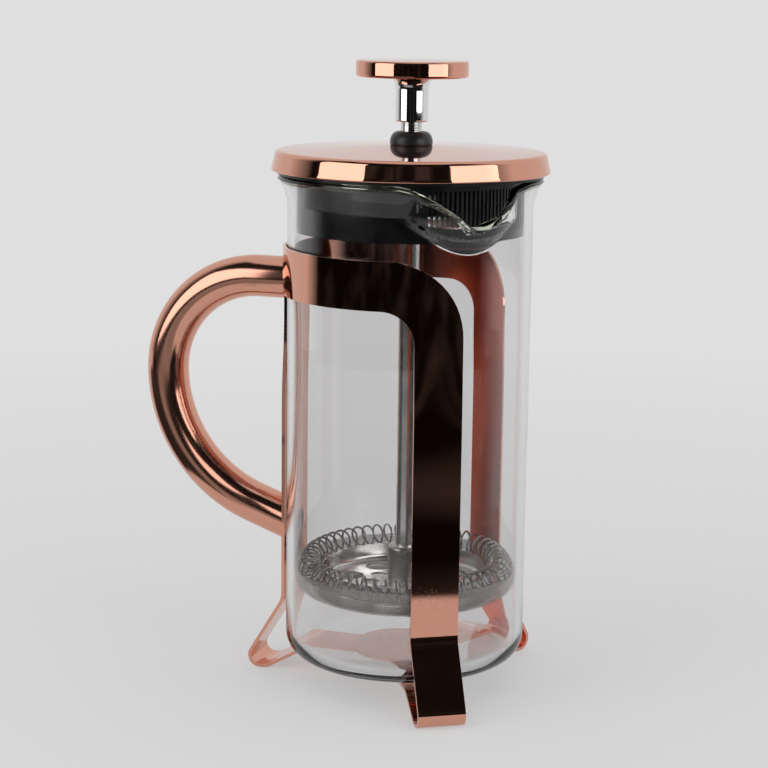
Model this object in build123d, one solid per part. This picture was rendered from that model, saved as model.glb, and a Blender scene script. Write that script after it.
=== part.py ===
"""French press for about 350 ml: a glass beaker in a plated sheet-steel stand, with a lid and a plunger.

Millimetres, +Z up. The origin is on the beaker's axis, in the plane that the three feet stand on.
The handle points along -X. Angles are measured from +X towards +Y.
"""

import math
import os

from build123d import *

# Driving dimensions: the beaker
BEAKER_R = 36.0
BEAKER_WALL = 2.1
BEAKER_BASE_Z = 8.2
BEAKER_FLOOR = 3.0
BEAKER_CORNER_R = 7.0
BEAKER_INNER_CORNER_R = 5.0
FLARE_START_Z = 143.0
FLARE_R = 16.5
RIM_Z = 153.3

# The pouring spout, turned away from the line opposite the handle as the beaker stands in its frame
SPOUT_ANGLE = -46.0
SPOUT_FOOT_Z = 133.5
SPOUT_FULL_Z = 143.5
SPOUT_FOOT_R = 11.5
SPOUT_TOP_R = 19.0
SPOUT_CENTRE_R = 24.0
SPOUT_TIP_Z = 142.2
SPOUT_HALF_WIDTH = 14.5
SPOUT_SHOULDER_R = 16.0
SPOUT_NOTCH_R = 2.4

# The stand: one stamped and rolled sheet
SHEET = 1.0
BEAKER_GAP = 0.3
STRIP_WIDTH = 14.0
BAND_BOTTOM_Z = 118.3
INNER_CORNER_R = 9.5
OUTER_CORNER_R = 22.0
FRONT_LEG_ANGLE = 60.0
HANDLE_ANGLE = 180.0
KINK_Z = 22.5
KINK_R = 8.0
FOOT_REACH = 50.1
FOOT_BEND_R = 3.2
FOOT_HEEL_R = 42.2
FOOT_HEEL_BEND_R = 4.0
RETURN_R = 31.5
RETURN_END_R = 9.0
RETURN_BEND_R = 6.0

# The disc that joins the three leg ends and carries the beaker
BASE_PLATE_R = 15.6
BASE_PLATE_TOP_Z = 8.1
RIVET_CIRCLE_R = 12.6
RIVET_R = 1.6
RIVET_HEAD_R = 3.0
RIVET_HEAD = 1.2

# The handle: one bent tube, plugged and screwed at both ends
TUBE_R = 6.3
TUBE_WALL = 1.0
HANDLE_TOP_Z = 121.0
HANDLE_STRAIGHT_R = 47.0
HANDLE_UPPER_R = 30.0
HANDLE_LOWER_R = 43.0
HANDLE_LOWER_TURN = 70.0
PLUG_LENGTH = 9.0
SCREW_R = 2.0
SCREW_LENGTH = 7.0
SCREW_HEAD_R = 3.5
SCREW_HEAD = 0.7
SCREW_SLOT_WIDTH = 0.8
SCREW_SLOT_DEPTH = 0.35

# The lid: a plated cover on a moulded insert, held by a ball-shaped rod guide and a push-on nut
COVER_SHEET = 0.8
COVER_R = 39.9
COVER_SKIRT_R = 40.8
COVER_BOTTOM_Z = 154.5
COVER_EDGE_Z = 160.3
COVER_EDGE_R = 1.6
COVER_APEX_Z = 162.0
FLANGE_R = 38.9
FLANGE = 1.5
INSERT_R = 33.3
INSERT_WALL = 2.2
INSERT_BOTTOM_Z = 137.0
INSERT_HUB_R = 9.0
INSERT_HUB_BOTTOM_Z = 148.0
INSERT_HUB_TOP_Z = 160.9
INSERT_RIB_R = 36.0
INSERT_RIB = 1.6
INSERT_RIB_TOP_Z = 159.6
SLOT_COUNT = 41
SLOT_PITCH_ANGLE = 2.5
SLOT_MIDDLE_ANGLE = -14.0
SLOT_WIDTH = 0.7
SLOT_BOTTOM_Z = 139.5
SLOT_TOP_Z = 151.5
GUIDE_R = 6.25
GUIDE_TOP_Z = 165.9
GUIDE_WAIST_Z = 162.8
GUIDE_TOP_FLAT_R = 3.9
GUIDE_SEAT_R = 6.1
GUIDE_STEM_R = 5.0
GUIDE_STEM_BOTTOM_Z = 145.6
GUIDE_NUT_R = 8.2
GUIDE_NUT = 1.6

# The plunger
ROD_R = 3.0
ROD_CLEARANCE = 0.08
ROD_BOTTOM_Z = 23.6
ROD_TOP_Z = 177.5
KNOB_R = 16.4
KNOB_BOTTOM_Z = 181.5
KNOB_TOP_Z = 186.6
KNOB_EDGE_R = 0.8
KNOB_CROWN = 0.3
NECK_R = 4.8
NECK_TOP_R = 6.0
NECK_FLARE_Z = 177.6
NECK_BOTTOM_Z = 168.7
NECK_EDGE_R = 0.5
STUD_R = 3.0
STUD_LENGTH = 3.2

# The filter stack, from the top: hub, spring plate with its coil, spacer, mesh, cross plate, nut
HUB_R = 5.3
HUB_TOP_Z = 41.8
HUB_EDGE_R = 0.9
PLATE = 0.6
SPRING_PLATE_TOP_Z = 30.4
SPRING_PLATE_R = 25.4
SPRING_PLATE_RIM_Z = 35.4
SPRING_PLATE_CORNER_R = 2.0
LARGE_HOLES = 8
LARGE_HOLE_R = 4.1
LARGE_HOLE_CIRCLE_R = 17.2
SMALL_HOLES = 8
SMALL_HOLE_R = 2.5
SMALL_HOLE_CIRCLE_R = 10.2
MESH_R = 33.5
MESH = 0.4
MESH_BOTTOM_Z = 27.8
MESH_RIM_Z = 36.2
MESH_CORNER_R = 6.5
CROSS_PLATE_R = 26.5
SPACER_R = 7.0
NUT_ACROSS_FLATS = 10.0
NUT = 3.2
COIL_COUNT = 54
COIL_R = 3.25
COIL_RING_R = 29.3
COIL_Z = 36.6
COIL_WIRE_R = 0.38
COIL_START_ANGLE = 4.0

# Values worked out from the driving dimensions
BAND_INNER_R = BEAKER_R + BEAKER_GAP
BAND_OUTER_R = BAND_INNER_R + SHEET
BAND_TOP_Z = BAND_BOTTOM_Z + STRIP_WIDTH
BASE_PLATE_BOTTOM_Z = BASE_PLATE_TOP_Z - SHEET
BORE_R = BEAKER_R - BEAKER_WALL
FLANGE_BOTTOM_Z = RIM_Z + 0.1
FLANGE_TOP_Z = FLANGE_BOTTOM_Z + FLANGE
ROD_BORE_R = ROD_R + ROD_CLEARANCE
SPACER_BOTTOM_Z = MESH_BOTTOM_Z + MESH
SPACER_TOP_Z = SPRING_PLATE_TOP_Z - PLATE
CROSS_PLATE_BOTTOM_Z = MESH_BOTTOM_Z - PLATE


def tall_cylinder(radius: float, bottom: float, top: float) -> Part:
    """A cylinder on the axis between two heights."""
    return Pos(0, 0, bottom) * Cylinder(radius, top - bottom, align=(Align.CENTER, Align.CENTER, Align.MIN))


def turned(outline: Curve) -> Part:
    """Revolve a closed outline, drawn as (radius, height), about the axis."""
    return revolve(Plane.XZ * make_face(outline), Axis.Z)


def around(angle: float) -> Rotation:
    """A turn about the axis, for a piece drawn along +X."""
    return Rot(0, 0, angle)


# The beaker
def beaker_body(wall: float, base_z: float, corner_r: float) -> Part:
    """The turned part of the beaker, inset by wall: a tumbler with a flared mouth."""
    radius = BEAKER_R - wall
    flare_r = FLARE_R + wall
    centre_r = BEAKER_R + FLARE_R
    mouth_r = centre_r - math.sqrt(flare_r**2 - (RIM_Z - FLARE_START_Z) ** 2)
    half_turn = math.asin((RIM_Z - FLARE_START_Z) / flare_r) / 2
    flare_middle = (centre_r - flare_r * math.cos(half_turn), FLARE_START_Z + flare_r * math.sin(half_turn))
    corner = corner_r * (1 - math.sqrt(0.5))
    outline = (
        Line((0, base_z), (radius - corner_r, base_z))
        + ThreePointArc(
            (radius - corner_r, base_z), (radius - corner, base_z + corner), (radius, base_z + corner_r)
        )
        + Line((radius, base_z + corner_r), (radius, FLARE_START_Z))
        + ThreePointArc((radius, FLARE_START_Z), flare_middle, (mouth_r, RIM_Z))
        + Line((mouth_r, RIM_Z), (0, RIM_Z))
        + Line((0, RIM_Z), (0, base_z))
    )
    return turned(outline)


def spout_swell(wall: float) -> Part:
    """The drawn-out spout: a wide cone that leaves the wall above the band, then an upright lip."""
    cone = Cone(
        SPOUT_FOOT_R - wall,
        SPOUT_TOP_R - wall,
        SPOUT_FULL_Z - SPOUT_FOOT_Z,
        align=(Align.CENTER, Align.CENTER, Align.MIN),
    )
    lip = tall_cylinder(SPOUT_TOP_R - wall, SPOUT_FULL_Z, RIM_Z)
    return Pos(SPOUT_CENTRE_R, 0, 0) * (Pos(0, 0, SPOUT_FOOT_Z) * cone + lip)


def spout_notch() -> Part:
    """What is taken off the rim at the spout: a V with a round tip and round shoulders, drawn along +X."""
    past_rim = RIM_Z + 20
    side = 2 * SPOUT_HALF_WIDTH
    outline = Polyline(
        (0, SPOUT_TIP_Z),
        (SPOUT_HALF_WIDTH, RIM_Z),
        (side, RIM_Z),
        (side, past_rim),
        (-side, past_rim),
        (-side, RIM_Z),
        (-SPOUT_HALF_WIDTH, RIM_Z),
        close=True,
    )
    face = make_face(outline)
    shoulders = [v for v in face.vertices() if abs(abs(v.X) - SPOUT_HALF_WIDTH) < 0.01]
    face = fillet(shoulders, SPOUT_SHOULDER_R)
    tip = [v for v in face.vertices() if abs(v.X) < 0.01 and v.Y < RIM_Z]
    face = fillet(tip, SPOUT_NOTCH_R)
    return extrude(Plane.YZ * face, 2 * BEAKER_R)


def glass_beaker() -> Part:
    """The glass: outside less inside, with the rim cut down at the spout."""
    outside = beaker_body(0, BEAKER_BASE_Z, BEAKER_CORNER_R) + spout_swell(0)
    inside = beaker_body(BEAKER_WALL, BEAKER_BASE_Z + BEAKER_FLOOR, BEAKER_INNER_CORNER_R)
    inside += spout_swell(BEAKER_WALL)
    return around(SPOUT_ANGLE) * (outside - inside - spout_notch())


# The stand
def sheet_section() -> Part:
    """The stand's sheet, turned all the way round: band, leg, foot and the return under the beaker."""
    middle = BAND_INNER_R + SHEET / 2
    return_z = BASE_PLATE_BOTTOM_Z - SHEET / 2
    centreline = FilletPolyline(
        (middle, BAND_TOP_Z),
        (middle, KINK_Z),
        (FOOT_REACH, SHEET / 2),
        (FOOT_HEEL_R, SHEET / 2),
        (RETURN_R, return_z),
        (RETURN_END_R, return_z),
        radius=[KINK_R, FOOT_BEND_R, FOOT_HEEL_BEND_R, RETURN_BEND_R],
    )
    return revolve(Plane.XZ * trace(centreline, SHEET), Axis.Z)


def strip_blank(outline: Sketch, angle: float) -> Part:
    """A strip's flat outline, drawn as (sideways, height) and carried out along the leg's own direction."""
    return around(angle) * extrude(Plane.YZ * outline, 2 * BEAKER_R)


def front_leg_outline(side: int) -> Sketch:
    """A front leg and the band's end that it hangs from; side is the way to the band, +1 or -1."""
    half = STRIP_WIDTH / 2
    reach = BEAKER_R * 2 / 3
    outline = Polyline(
        (-side * half, -SHEET),
        (-side * half, BAND_TOP_Z),
        (side * reach, BAND_TOP_Z),
        (side * reach, BAND_BOTTOM_Z),
        (side * half, BAND_BOTTOM_Z),
        (side * half, -SHEET),
        close=True,
    )
    face = make_face(outline)
    outer = [v for v in face.vertices() if abs(v.X + side * half) < 0.01 and v.Y > BAND_BOTTOM_Z]
    face = fillet(outer, OUTER_CORNER_R - 0.01)
    inner = [v for v in face.vertices() if abs(v.X - side * half) < 0.01 and v.Y > BAND_BOTTOM_Z - 1]
    return fillet(inner, INNER_CORNER_R)


def screw_seat(z: float) -> Part:
    """The hole for a handle screw: a shank hole and a shallow seat for its flat head, along -X."""
    shank = Cylinder(SCREW_R, BEAKER_R, align=(Align.CENTER, Align.CENTER, Align.MIN))
    head = Cylinder(SCREW_HEAD_R, SCREW_HEAD, align=(Align.CENTER, Align.CENTER, Align.MIN))
    seat = Pos(0, 0, BAND_INNER_R - 1) * Cylinder(
        SCREW_HEAD_R, 1 + SCREW_HEAD, align=(Align.CENTER, Align.CENTER, Align.MIN)
    )
    toward_handle = Pos(0, 0, z) * Rot(0, -90, 0)
    return toward_handle * (Pos(0, 0, BAND_INNER_R) * (shank + head) + seat)


def handle_lower_z() -> float:
    """Height of the handle's centreline where it meets the rear leg."""
    turn = math.radians(HANDLE_LOWER_TURN)
    bend_z = HANDLE_TOP_Z - HANDLE_UPPER_R
    end_r = HANDLE_STRAIGHT_R + HANDLE_UPPER_R - HANDLE_LOWER_R * (1 - math.cos(turn))
    end_z = bend_z - HANDLE_LOWER_R * math.sin(turn)
    return end_z - (end_r - BAND_OUTER_R) / math.tan(turn)


def stand_frame() -> Part:
    """The stand's sheet as stamped: a band open in front, two front legs and the leg under the handle."""
    half = STRIP_WIDTH / 2
    rear_outline = make_face(
        Polyline((half, -SHEET), (half, BAND_TOP_Z), (-half, BAND_TOP_Z), (-half, -SHEET), close=True)
    )
    blank = strip_blank(front_leg_outline(-1), -FRONT_LEG_ANGLE)
    blank += strip_blank(front_leg_outline(1), FRONT_LEG_ANGLE)
    blank += strip_blank(rear_outline, HANDLE_ANGLE)
    far = 4 * BEAKER_R
    band_back = Pos(-far / 2, 0, BAND_BOTTOM_Z) * Box(
        far, far, STRIP_WIDTH, align=(Align.CENTER, Align.CENTER, Align.MIN)
    )
    stand = sheet_section() & (blank + band_back)
    for z in (HANDLE_TOP_Z, handle_lower_z()):
        stand -= screw_seat(z)
    for angle in leg_angles():
        stand -= around(angle) * Pos(RIVET_CIRCLE_R, 0, 0) * tall_cylinder(RIVET_R, 0, BEAKER_BASE_Z)
    return stand


def leg_angles() -> tuple[float, float, float]:
    """Where the three legs stand."""
    return (HANDLE_ANGLE, -FRONT_LEG_ANGLE, FRONT_LEG_ANGLE)


def base_plate() -> Part:
    """The disc under the beaker that the three leg ends are riveted to."""
    plate = tall_cylinder(BASE_PLATE_R, BASE_PLATE_BOTTOM_Z, BASE_PLATE_TOP_Z)
    plate = fillet(plate.edges(), SHEET * 0.3)
    for angle in leg_angles():
        plate -= around(angle) * Pos(RIVET_CIRCLE_R, 0, 0) * tall_cylinder(RIVET_R, 0, BEAKER_BASE_Z)
    return plate


def base_rivets() -> list[Part]:
    """Three rivets, headed below and flush above."""
    leg_bottom_z = BASE_PLATE_BOTTOM_Z - SHEET
    head_edge = RIVET_HEAD / 2
    rivet = tall_cylinder(RIVET_R, leg_bottom_z, BASE_PLATE_TOP_Z)
    head = tall_cylinder(RIVET_HEAD_R, leg_bottom_z - RIVET_HEAD, leg_bottom_z)
    head = fillet(head.edges().sort_by(Axis.Z)[0], head_edge)
    return [around(angle) * Pos(RIVET_CIRCLE_R, 0, 0) * (rivet + head) for angle in leg_angles()]


# The handle
def handle_path() -> Curve:
    """The handle's centreline in the XZ plane, from the band round to the rear leg."""
    inside_r = BEAKER_R - SHEET
    start = (-inside_r, HANDLE_TOP_Z)
    bend = (-HANDLE_STRAIGHT_R, HANDLE_TOP_Z)
    upper = JernArc(bend, (-1, 0), HANDLE_UPPER_R, 90)
    lower = JernArc(upper @ 1, upper % 1, HANDLE_LOWER_R, HANDLE_LOWER_TURN)
    slope = lower % 1
    end = (lower @ 1) + slope * ((-inside_r - (lower @ 1).X) / slope.X)
    return Plane.XZ * (Line(start, bend) + upper + lower + Line(lower @ 1, end))


def swept_rod(path: Curve, radius: float) -> Part:
    """A round bar along the path."""
    wire = path.wire()
    section = Plane(origin=wire @ 0, z_dir=wire % 0) * Circle(radius)
    return sweep(section, path=wire)


def inside_of_stand() -> Part:
    """The room inside the band, which the handle's ends are cut to."""
    return tall_cylinder(BAND_OUTER_R, 0, KNOB_TOP_Z)


def handle_tube() -> Part:
    """The bent tube, cut to sit on the band and the rear leg."""
    path = handle_path()
    return swept_rod(path, TUBE_R) - swept_rod(path, TUBE_R - TUBE_WALL) - inside_of_stand()


def handle_plug(at_top: bool) -> Part:
    """A tapped plug in the tube's end."""
    wire = handle_path().wire()
    where = 0 if at_top else 1
    point = wire @ where
    outward = wire % where if at_top else -(wire % where)
    reach = (BAND_OUTER_R + point.X) / -outward.X + PLUG_LENGTH
    bar = Plane(origin=point, z_dir=outward) * Cylinder(
        TUBE_R - TUBE_WALL, reach, align=(Align.CENTER, Align.CENTER, Align.MIN)
    )
    hole = Pos(-BAND_INNER_R, 0, handle_end_z(at_top)) * Rot(0, -90, 0) * Cylinder(
        SCREW_R, SHEET + SCREW_LENGTH, align=(Align.CENTER, Align.CENTER, Align.MIN)
    )
    return bar - inside_of_stand() - hole


def handle_end_z(at_top: bool) -> float:
    """Height of the handle's upper or lower screw."""
    return HANDLE_TOP_Z if at_top else handle_lower_z()


def handle_screw(at_top: bool) -> Part:
    """A flat-headed slotted screw through the sheet into the plug."""
    shank = Pos(0, 0, SCREW_HEAD) * Cylinder(
        SCREW_R, SCREW_LENGTH, align=(Align.CENTER, Align.CENTER, Align.MIN)
    )
    head = Cylinder(SCREW_HEAD_R, SCREW_HEAD, align=(Align.CENTER, Align.CENTER, Align.MIN))
    slot = Box(
        2 * SCREW_HEAD_R, SCREW_SLOT_WIDTH, SCREW_SLOT_DEPTH, align=(Align.CENTER, Align.CENTER, Align.MIN)
    )
    return Pos(-BAND_INNER_R, 0, handle_end_z(at_top)) * Rot(0, -90, 0) * (head + shank - slot)


# The lid
def lid_cover() -> Part:
    """The plated cover: a shallow dome and a short side that widens a little towards its bottom edge."""
    middle = COVER_SHEET / 2
    centreline = FilletPolyline(
        (GUIDE_STEM_R, COVER_APEX_Z - middle),
        (COVER_R - middle, COVER_EDGE_Z - middle),
        (COVER_SKIRT_R - middle, COVER_BOTTOM_Z),
        radius=COVER_EDGE_R,
    )
    return revolve(Plane.XZ * trace(centreline, COVER_SHEET), Axis.Z) - tall_cylinder(
        GUIDE_STEM_R, COVER_BOTTOM_Z, KNOB_TOP_Z
    )


def lid_insert() -> Part:
    """The moulded insert: a flange on the rim, a slotted ring in the mouth and a hub for the guide."""
    insert = tall_cylinder(FLANGE_R, FLANGE_BOTTOM_Z, FLANGE_TOP_Z)
    insert += tall_cylinder(INSERT_R, INSERT_BOTTOM_Z, FLANGE_BOTTOM_Z)
    insert -= tall_cylinder(INSERT_R - INSERT_WALL, INSERT_BOTTOM_Z, FLANGE_BOTTOM_Z)
    insert += tall_cylinder(INSERT_RIB_R, FLANGE_TOP_Z, INSERT_RIB_TOP_Z) - tall_cylinder(
        INSERT_RIB_R - INSERT_RIB, FLANGE_TOP_Z, INSERT_RIB_TOP_Z
    )
    insert += tall_cylinder(INSERT_HUB_R, INSERT_HUB_BOTTOM_Z, INSERT_HUB_TOP_Z)
    insert -= tall_cylinder(GUIDE_STEM_R, INSERT_HUB_BOTTOM_Z, INSERT_HUB_TOP_Z)
    slot_height = SLOT_TOP_Z - SLOT_BOTTOM_Z
    slot = Pos(INSERT_R, 0, SLOT_BOTTOM_Z) * Box(
        4 * INSERT_WALL, SLOT_WIDTH, slot_height, align=(Align.CENTER, Align.CENTER, Align.MIN)
    )
    first = SLOT_MIDDLE_ANGLE - SLOT_PITCH_ANGLE * (SLOT_COUNT - 1) / 2
    slots = [around(first + SLOT_PITCH_ANGLE * i) * slot for i in range(SLOT_COUNT)]
    return insert - slots


def guide_ball() -> Part:
    """The rod guide: a flattened ball on the cover, with a stem down through cover and insert."""
    outline = (
        Line((ROD_BORE_R, GUIDE_STEM_BOTTOM_Z), (GUIDE_STEM_R, GUIDE_STEM_BOTTOM_Z))
        + Line((GUIDE_STEM_R, GUIDE_STEM_BOTTOM_Z), (GUIDE_STEM_R, COVER_APEX_Z))
        + Line((GUIDE_STEM_R, COVER_APEX_Z), (GUIDE_SEAT_R, COVER_APEX_Z))
        + TangentArc((GUIDE_R, GUIDE_WAIST_Z), (GUIDE_SEAT_R, COVER_APEX_Z), tangent=(0, -1))
        + TangentArc((GUIDE_R, GUIDE_WAIST_Z), (GUIDE_TOP_FLAT_R, GUIDE_TOP_Z), tangent=(0, 1))
        + Line((GUIDE_TOP_FLAT_R, GUIDE_TOP_Z), (ROD_BORE_R, GUIDE_TOP_Z))
        + Line((ROD_BORE_R, GUIDE_TOP_Z), (ROD_BORE_R, GUIDE_STEM_BOTTOM_Z))
    )
    return turned(outline)


def guide_nut() -> Part:
    """The push-on nut that holds the guide's stem under the insert's hub."""
    bottom = INSERT_HUB_BOTTOM_Z - GUIDE_NUT
    nut = tall_cylinder(GUIDE_NUT_R, bottom, INSERT_HUB_BOTTOM_Z)
    nut = chamfer(nut.edges().sort_by(Axis.Z)[0], GUIDE_NUT / 4)
    return nut - tall_cylinder(GUIDE_STEM_R, bottom, INSERT_HUB_BOTTOM_Z)


# The plunger
def knob_disc() -> Part:
    """The plated knob: a disc with round edges and a slight crown, tapped from below."""
    disc = tall_cylinder(KNOB_R, KNOB_BOTTOM_Z, KNOB_TOP_Z - KNOB_CROWN)
    crown_r = (KNOB_R**2 + KNOB_CROWN**2) / (2 * KNOB_CROWN)
    cap = Pos(0, 0, KNOB_TOP_Z - crown_r) * Sphere(crown_r)
    disc += cap & tall_cylinder(KNOB_R, KNOB_TOP_Z - KNOB_CROWN, KNOB_TOP_Z + 1)
    rims = [e for e in disc.edges() if e.geom_type == GeomType.CIRCLE and e.radius > KNOB_R - 0.1]
    disc = fillet(rims, KNOB_EDGE_R)
    return disc - tall_cylinder(STUD_R, KNOB_BOTTOM_Z, KNOB_BOTTOM_Z + STUD_LENGTH)


def knob_neck() -> Part:
    """The bright neck under the knob, flared to meet it, with a stud above and the rod's socket below."""
    flare = NECK_TOP_R - NECK_R
    flare_middle_z = NECK_FLARE_Z + (KNOB_BOTTOM_Z - NECK_FLARE_Z) * 0.6
    outline = (
        Line((ROD_R, NECK_BOTTOM_Z), (NECK_R - NECK_EDGE_R, NECK_BOTTOM_Z))
        + Line((NECK_R - NECK_EDGE_R, NECK_BOTTOM_Z), (NECK_R, NECK_BOTTOM_Z + NECK_EDGE_R))
        + Line((NECK_R, NECK_BOTTOM_Z + NECK_EDGE_R), (NECK_R, NECK_FLARE_Z))
        + ThreePointArc(
            (NECK_R, NECK_FLARE_Z), (NECK_R + flare * 0.3, flare_middle_z), (NECK_TOP_R, KNOB_BOTTOM_Z)
        )
        + Line((NECK_TOP_R, KNOB_BOTTOM_Z), (STUD_R, KNOB_BOTTOM_Z))
        + Line((STUD_R, KNOB_BOTTOM_Z), (STUD_R, KNOB_BOTTOM_Z + STUD_LENGTH))
        + Line((STUD_R, KNOB_BOTTOM_Z + STUD_LENGTH), (0, KNOB_BOTTOM_Z + STUD_LENGTH))
        + Line((0, KNOB_BOTTOM_Z + STUD_LENGTH), (0, ROD_TOP_Z))
        + Line((0, ROD_TOP_Z), (ROD_R, ROD_TOP_Z))
        + Line((ROD_R, ROD_TOP_Z), (ROD_R, NECK_BOTTOM_Z))
    )
    return turned(outline)


def plunger_rod() -> Part:
    """The rod, from the knob's neck to the nut under the filter."""
    return tall_cylinder(ROD_R, ROD_BOTTOM_Z, ROD_TOP_Z)


def filter_hub() -> Part:
    """The round hub that presses the filter stack down, with rounded ends."""
    hub = tall_cylinder(HUB_R, SPRING_PLATE_TOP_Z, HUB_TOP_Z)
    hub = fillet(hub.edges().sort_by(Axis.Z)[-1], HUB_EDGE_R)
    return hub - tall_cylinder(ROD_R, SPRING_PLATE_TOP_Z, HUB_TOP_Z)


def hole_ring(count: int, radius: float, circle_r: float, bottom: float, top: float) -> list[Part]:
    """Round holes on a circle, as the pieces to cut away."""
    hole = Pos(circle_r, 0, 0) * tall_cylinder(radius, bottom, top)
    return [around(360 / count * i) * hole for i in range(count)]


def plate_holes(bottom: float, top: float) -> list[Part]:
    """The pattern that both filter plates share, with the rod's hole."""
    large = hole_ring(LARGE_HOLES, LARGE_HOLE_R, LARGE_HOLE_CIRCLE_R, bottom, top)
    small = hole_ring(SMALL_HOLES, SMALL_HOLE_R, SMALL_HOLE_CIRCLE_R, bottom, top)
    half_step = around(180 / SMALL_HOLES)
    return large + [half_step * hole for hole in small] + [tall_cylinder(ROD_R, bottom, top)]


def spring_plate() -> Part:
    """The perforated dish whose rim keeps the coil in place."""
    middle_z = SPRING_PLATE_TOP_Z - PLATE / 2
    centreline = FilletPolyline(
        (ROD_R, middle_z),
        (SPRING_PLATE_R - PLATE / 2, middle_z),
        (SPRING_PLATE_R - PLATE / 2, SPRING_PLATE_RIM_Z),
        radius=SPRING_PLATE_CORNER_R,
    )
    dish = revolve(Plane.XZ * trace(centreline, PLATE), Axis.Z)
    return dish - plate_holes(SPRING_PLATE_TOP_Z - 2 * PLATE, SPRING_PLATE_TOP_Z + PLATE)


def coil_point(turn: float) -> tuple[Vector, Vector]:
    """A point of the coil's centreline, and its direction, after that many turns of the wire."""
    ring = math.radians(COIL_START_ANGLE + (360 - COIL_START_ANGLE) * turn / COIL_COUNT)
    ring_per_turn = math.radians(360 - COIL_START_ANGLE) / COIL_COUNT
    loop = 2 * math.pi * turn
    radius = COIL_RING_R + COIL_R * math.cos(loop)
    point = Vector(radius * math.cos(ring), radius * math.sin(ring), COIL_Z + COIL_R * math.sin(loop))
    outward = -COIL_R * math.sin(loop) * 2 * math.pi
    sideways = radius * ring_per_turn
    rise = COIL_R * math.cos(loop) * 2 * math.pi
    direction = Vector(
        outward * math.cos(ring) - sideways * math.sin(ring),
        outward * math.sin(ring) + sideways * math.cos(ring),
        rise,
    )
    return point, direction.normalized()


def biarc(start: Vector, leaving: Vector, end: Vector, arriving: Vector) -> list[Edge]:
    """Two arcs that join two points and keep to the direction at each."""
    span = end - start
    along = span.dot(leaving + arriving)
    curl = 2 * (leaving.dot(arriving) - 1)
    reach = (along - math.sqrt(along**2 - curl * span.dot(span))) / curl
    first_corner = start + leaving * reach
    last_corner = end - arriving * reach
    joint = (first_corner + last_corner) * 0.5
    return [
        TangentArc(start, joint, tangent=leaving),
        TangentArc(joint, end, tangent=(last_corner - first_corner).normalized()),
    ]


def coil_spring() -> Part:
    """The wire coil that runs round the filter, one unbroken wire on biarcs of half a turn."""
    ends = [coil_point(step / 2) for step in range(2 * COIL_COUNT + 1)]
    edges = []
    for (start, leaving), (end, arriving) in zip(ends, ends[1:]):
        edges += biarc(start, leaving, end, arriving)
    wire = Wire(edges)
    section = Plane(origin=wire @ 0, z_dir=wire % 0) * Circle(COIL_WIRE_R)
    return sweep(section, path=wire)


def coil_gap() -> float:
    """The least gap between the coil's wire and itself, on neighbouring turns and between its two ends."""
    per_turn = 48
    points = [coil_point(step / per_turn)[0] for step in range(per_turn * COIL_COUNT + 1)]
    half = per_turn // 2
    ahead = [
        (points[i] - points[j]).length
        for i in range(len(points))
        for j in range(i + half, min(i + 2 * per_turn, len(points)))
    ]
    ends = [(first - last).length for first in points[:per_turn] for last in points[-per_turn:]]
    return min(ahead + ends) - 2 * COIL_WIRE_R


def mesh_screen() -> Part:
    """The woven screen as a thin dish: a flat floor and a round-cornered rim that holds the coil."""
    middle_z = MESH_BOTTOM_Z + MESH / 2
    centreline = FilletPolyline(
        (ROD_R, middle_z),
        (MESH_R - MESH / 2, middle_z),
        (MESH_R - MESH / 2, MESH_RIM_Z),
        radius=MESH_CORNER_R,
    )
    return revolve(Plane.XZ * trace(centreline, MESH), Axis.Z) - tall_cylinder(
        ROD_R, MESH_BOTTOM_Z - MESH, MESH_BOTTOM_Z + 2 * MESH
    )


def filter_spacer() -> Part:
    """The washer between the spring plate and the mesh."""
    return tall_cylinder(SPACER_R, SPACER_BOTTOM_Z, SPACER_TOP_Z) - tall_cylinder(
        ROD_R, SPACER_BOTTOM_Z, SPACER_TOP_Z
    )


def cross_plate() -> Part:
    """The perforated plate under the mesh."""
    plate = tall_cylinder(CROSS_PLATE_R, CROSS_PLATE_BOTTOM_Z, MESH_BOTTOM_Z)
    return plate - plate_holes(CROSS_PLATE_BOTTOM_Z, MESH_BOTTOM_Z)


def filter_nut() -> Part:
    """The nut that closes the filter stack from below."""
    bottom = CROSS_PLATE_BOTTOM_Z - NUT
    corner_r = NUT_ACROSS_FLATS / math.sqrt(3)
    body = Pos(0, 0, bottom) * extrude(RegularPolygon(corner_r, 6), NUT)
    dome = tall_cylinder(corner_r, bottom, CROSS_PLATE_BOTTOM_Z)
    dome = chamfer(dome.edges().sort_by(Axis.Z)[0], NUT / 6)
    return (body & dome) - tall_cylinder(ROD_R, bottom, CROSS_PLATE_BOTTOM_Z)


def write_parts() -> None:
    """Write one STEP file for each piece."""
    os.makedirs("parts", exist_ok=True)
    pieces = {
        "glass_beaker": glass_beaker(),
        "stand_frame": stand_frame(),
        "base_plate": base_plate(),
        "base_rivets": Compound(children=base_rivets()),
        "handle_tube": handle_tube(),
        "handle_top_plug": handle_plug(True),
        "handle_bottom_plug": handle_plug(False),
        "handle_top_screw": handle_screw(True),
        "handle_bottom_screw": handle_screw(False),
        "lid_cover": lid_cover(),
        "lid_insert": lid_insert(),
        "guide_ball": guide_ball(),
        "guide_nut": guide_nut(),
        "knob_disc": knob_disc(),
        "knob_neck": knob_neck(),
        "plunger_rod": plunger_rod(),
        "filter_hub": filter_hub(),
        "spring_plate": spring_plate(),
        "coil_spring": coil_spring(),
        "filter_spacer": filter_spacer(),
        "mesh_screen": mesh_screen(),
        "cross_plate": cross_plate(),
        "filter_nut": filter_nut(),
    }
    for name, piece in pieces.items():
        export_step(piece, f"parts/{name}.step")
    print(f"least gap in the coil: {coil_gap():.2f} mm")


write_parts()
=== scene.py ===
"""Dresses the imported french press: stand and handle, glass beaker, lid, and plunger with its filter."""

import logging
import math
from dataclasses import dataclass, field
from enum import Enum

import bmesh
import bpy
from mathutils import Matrix, Vector


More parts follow.
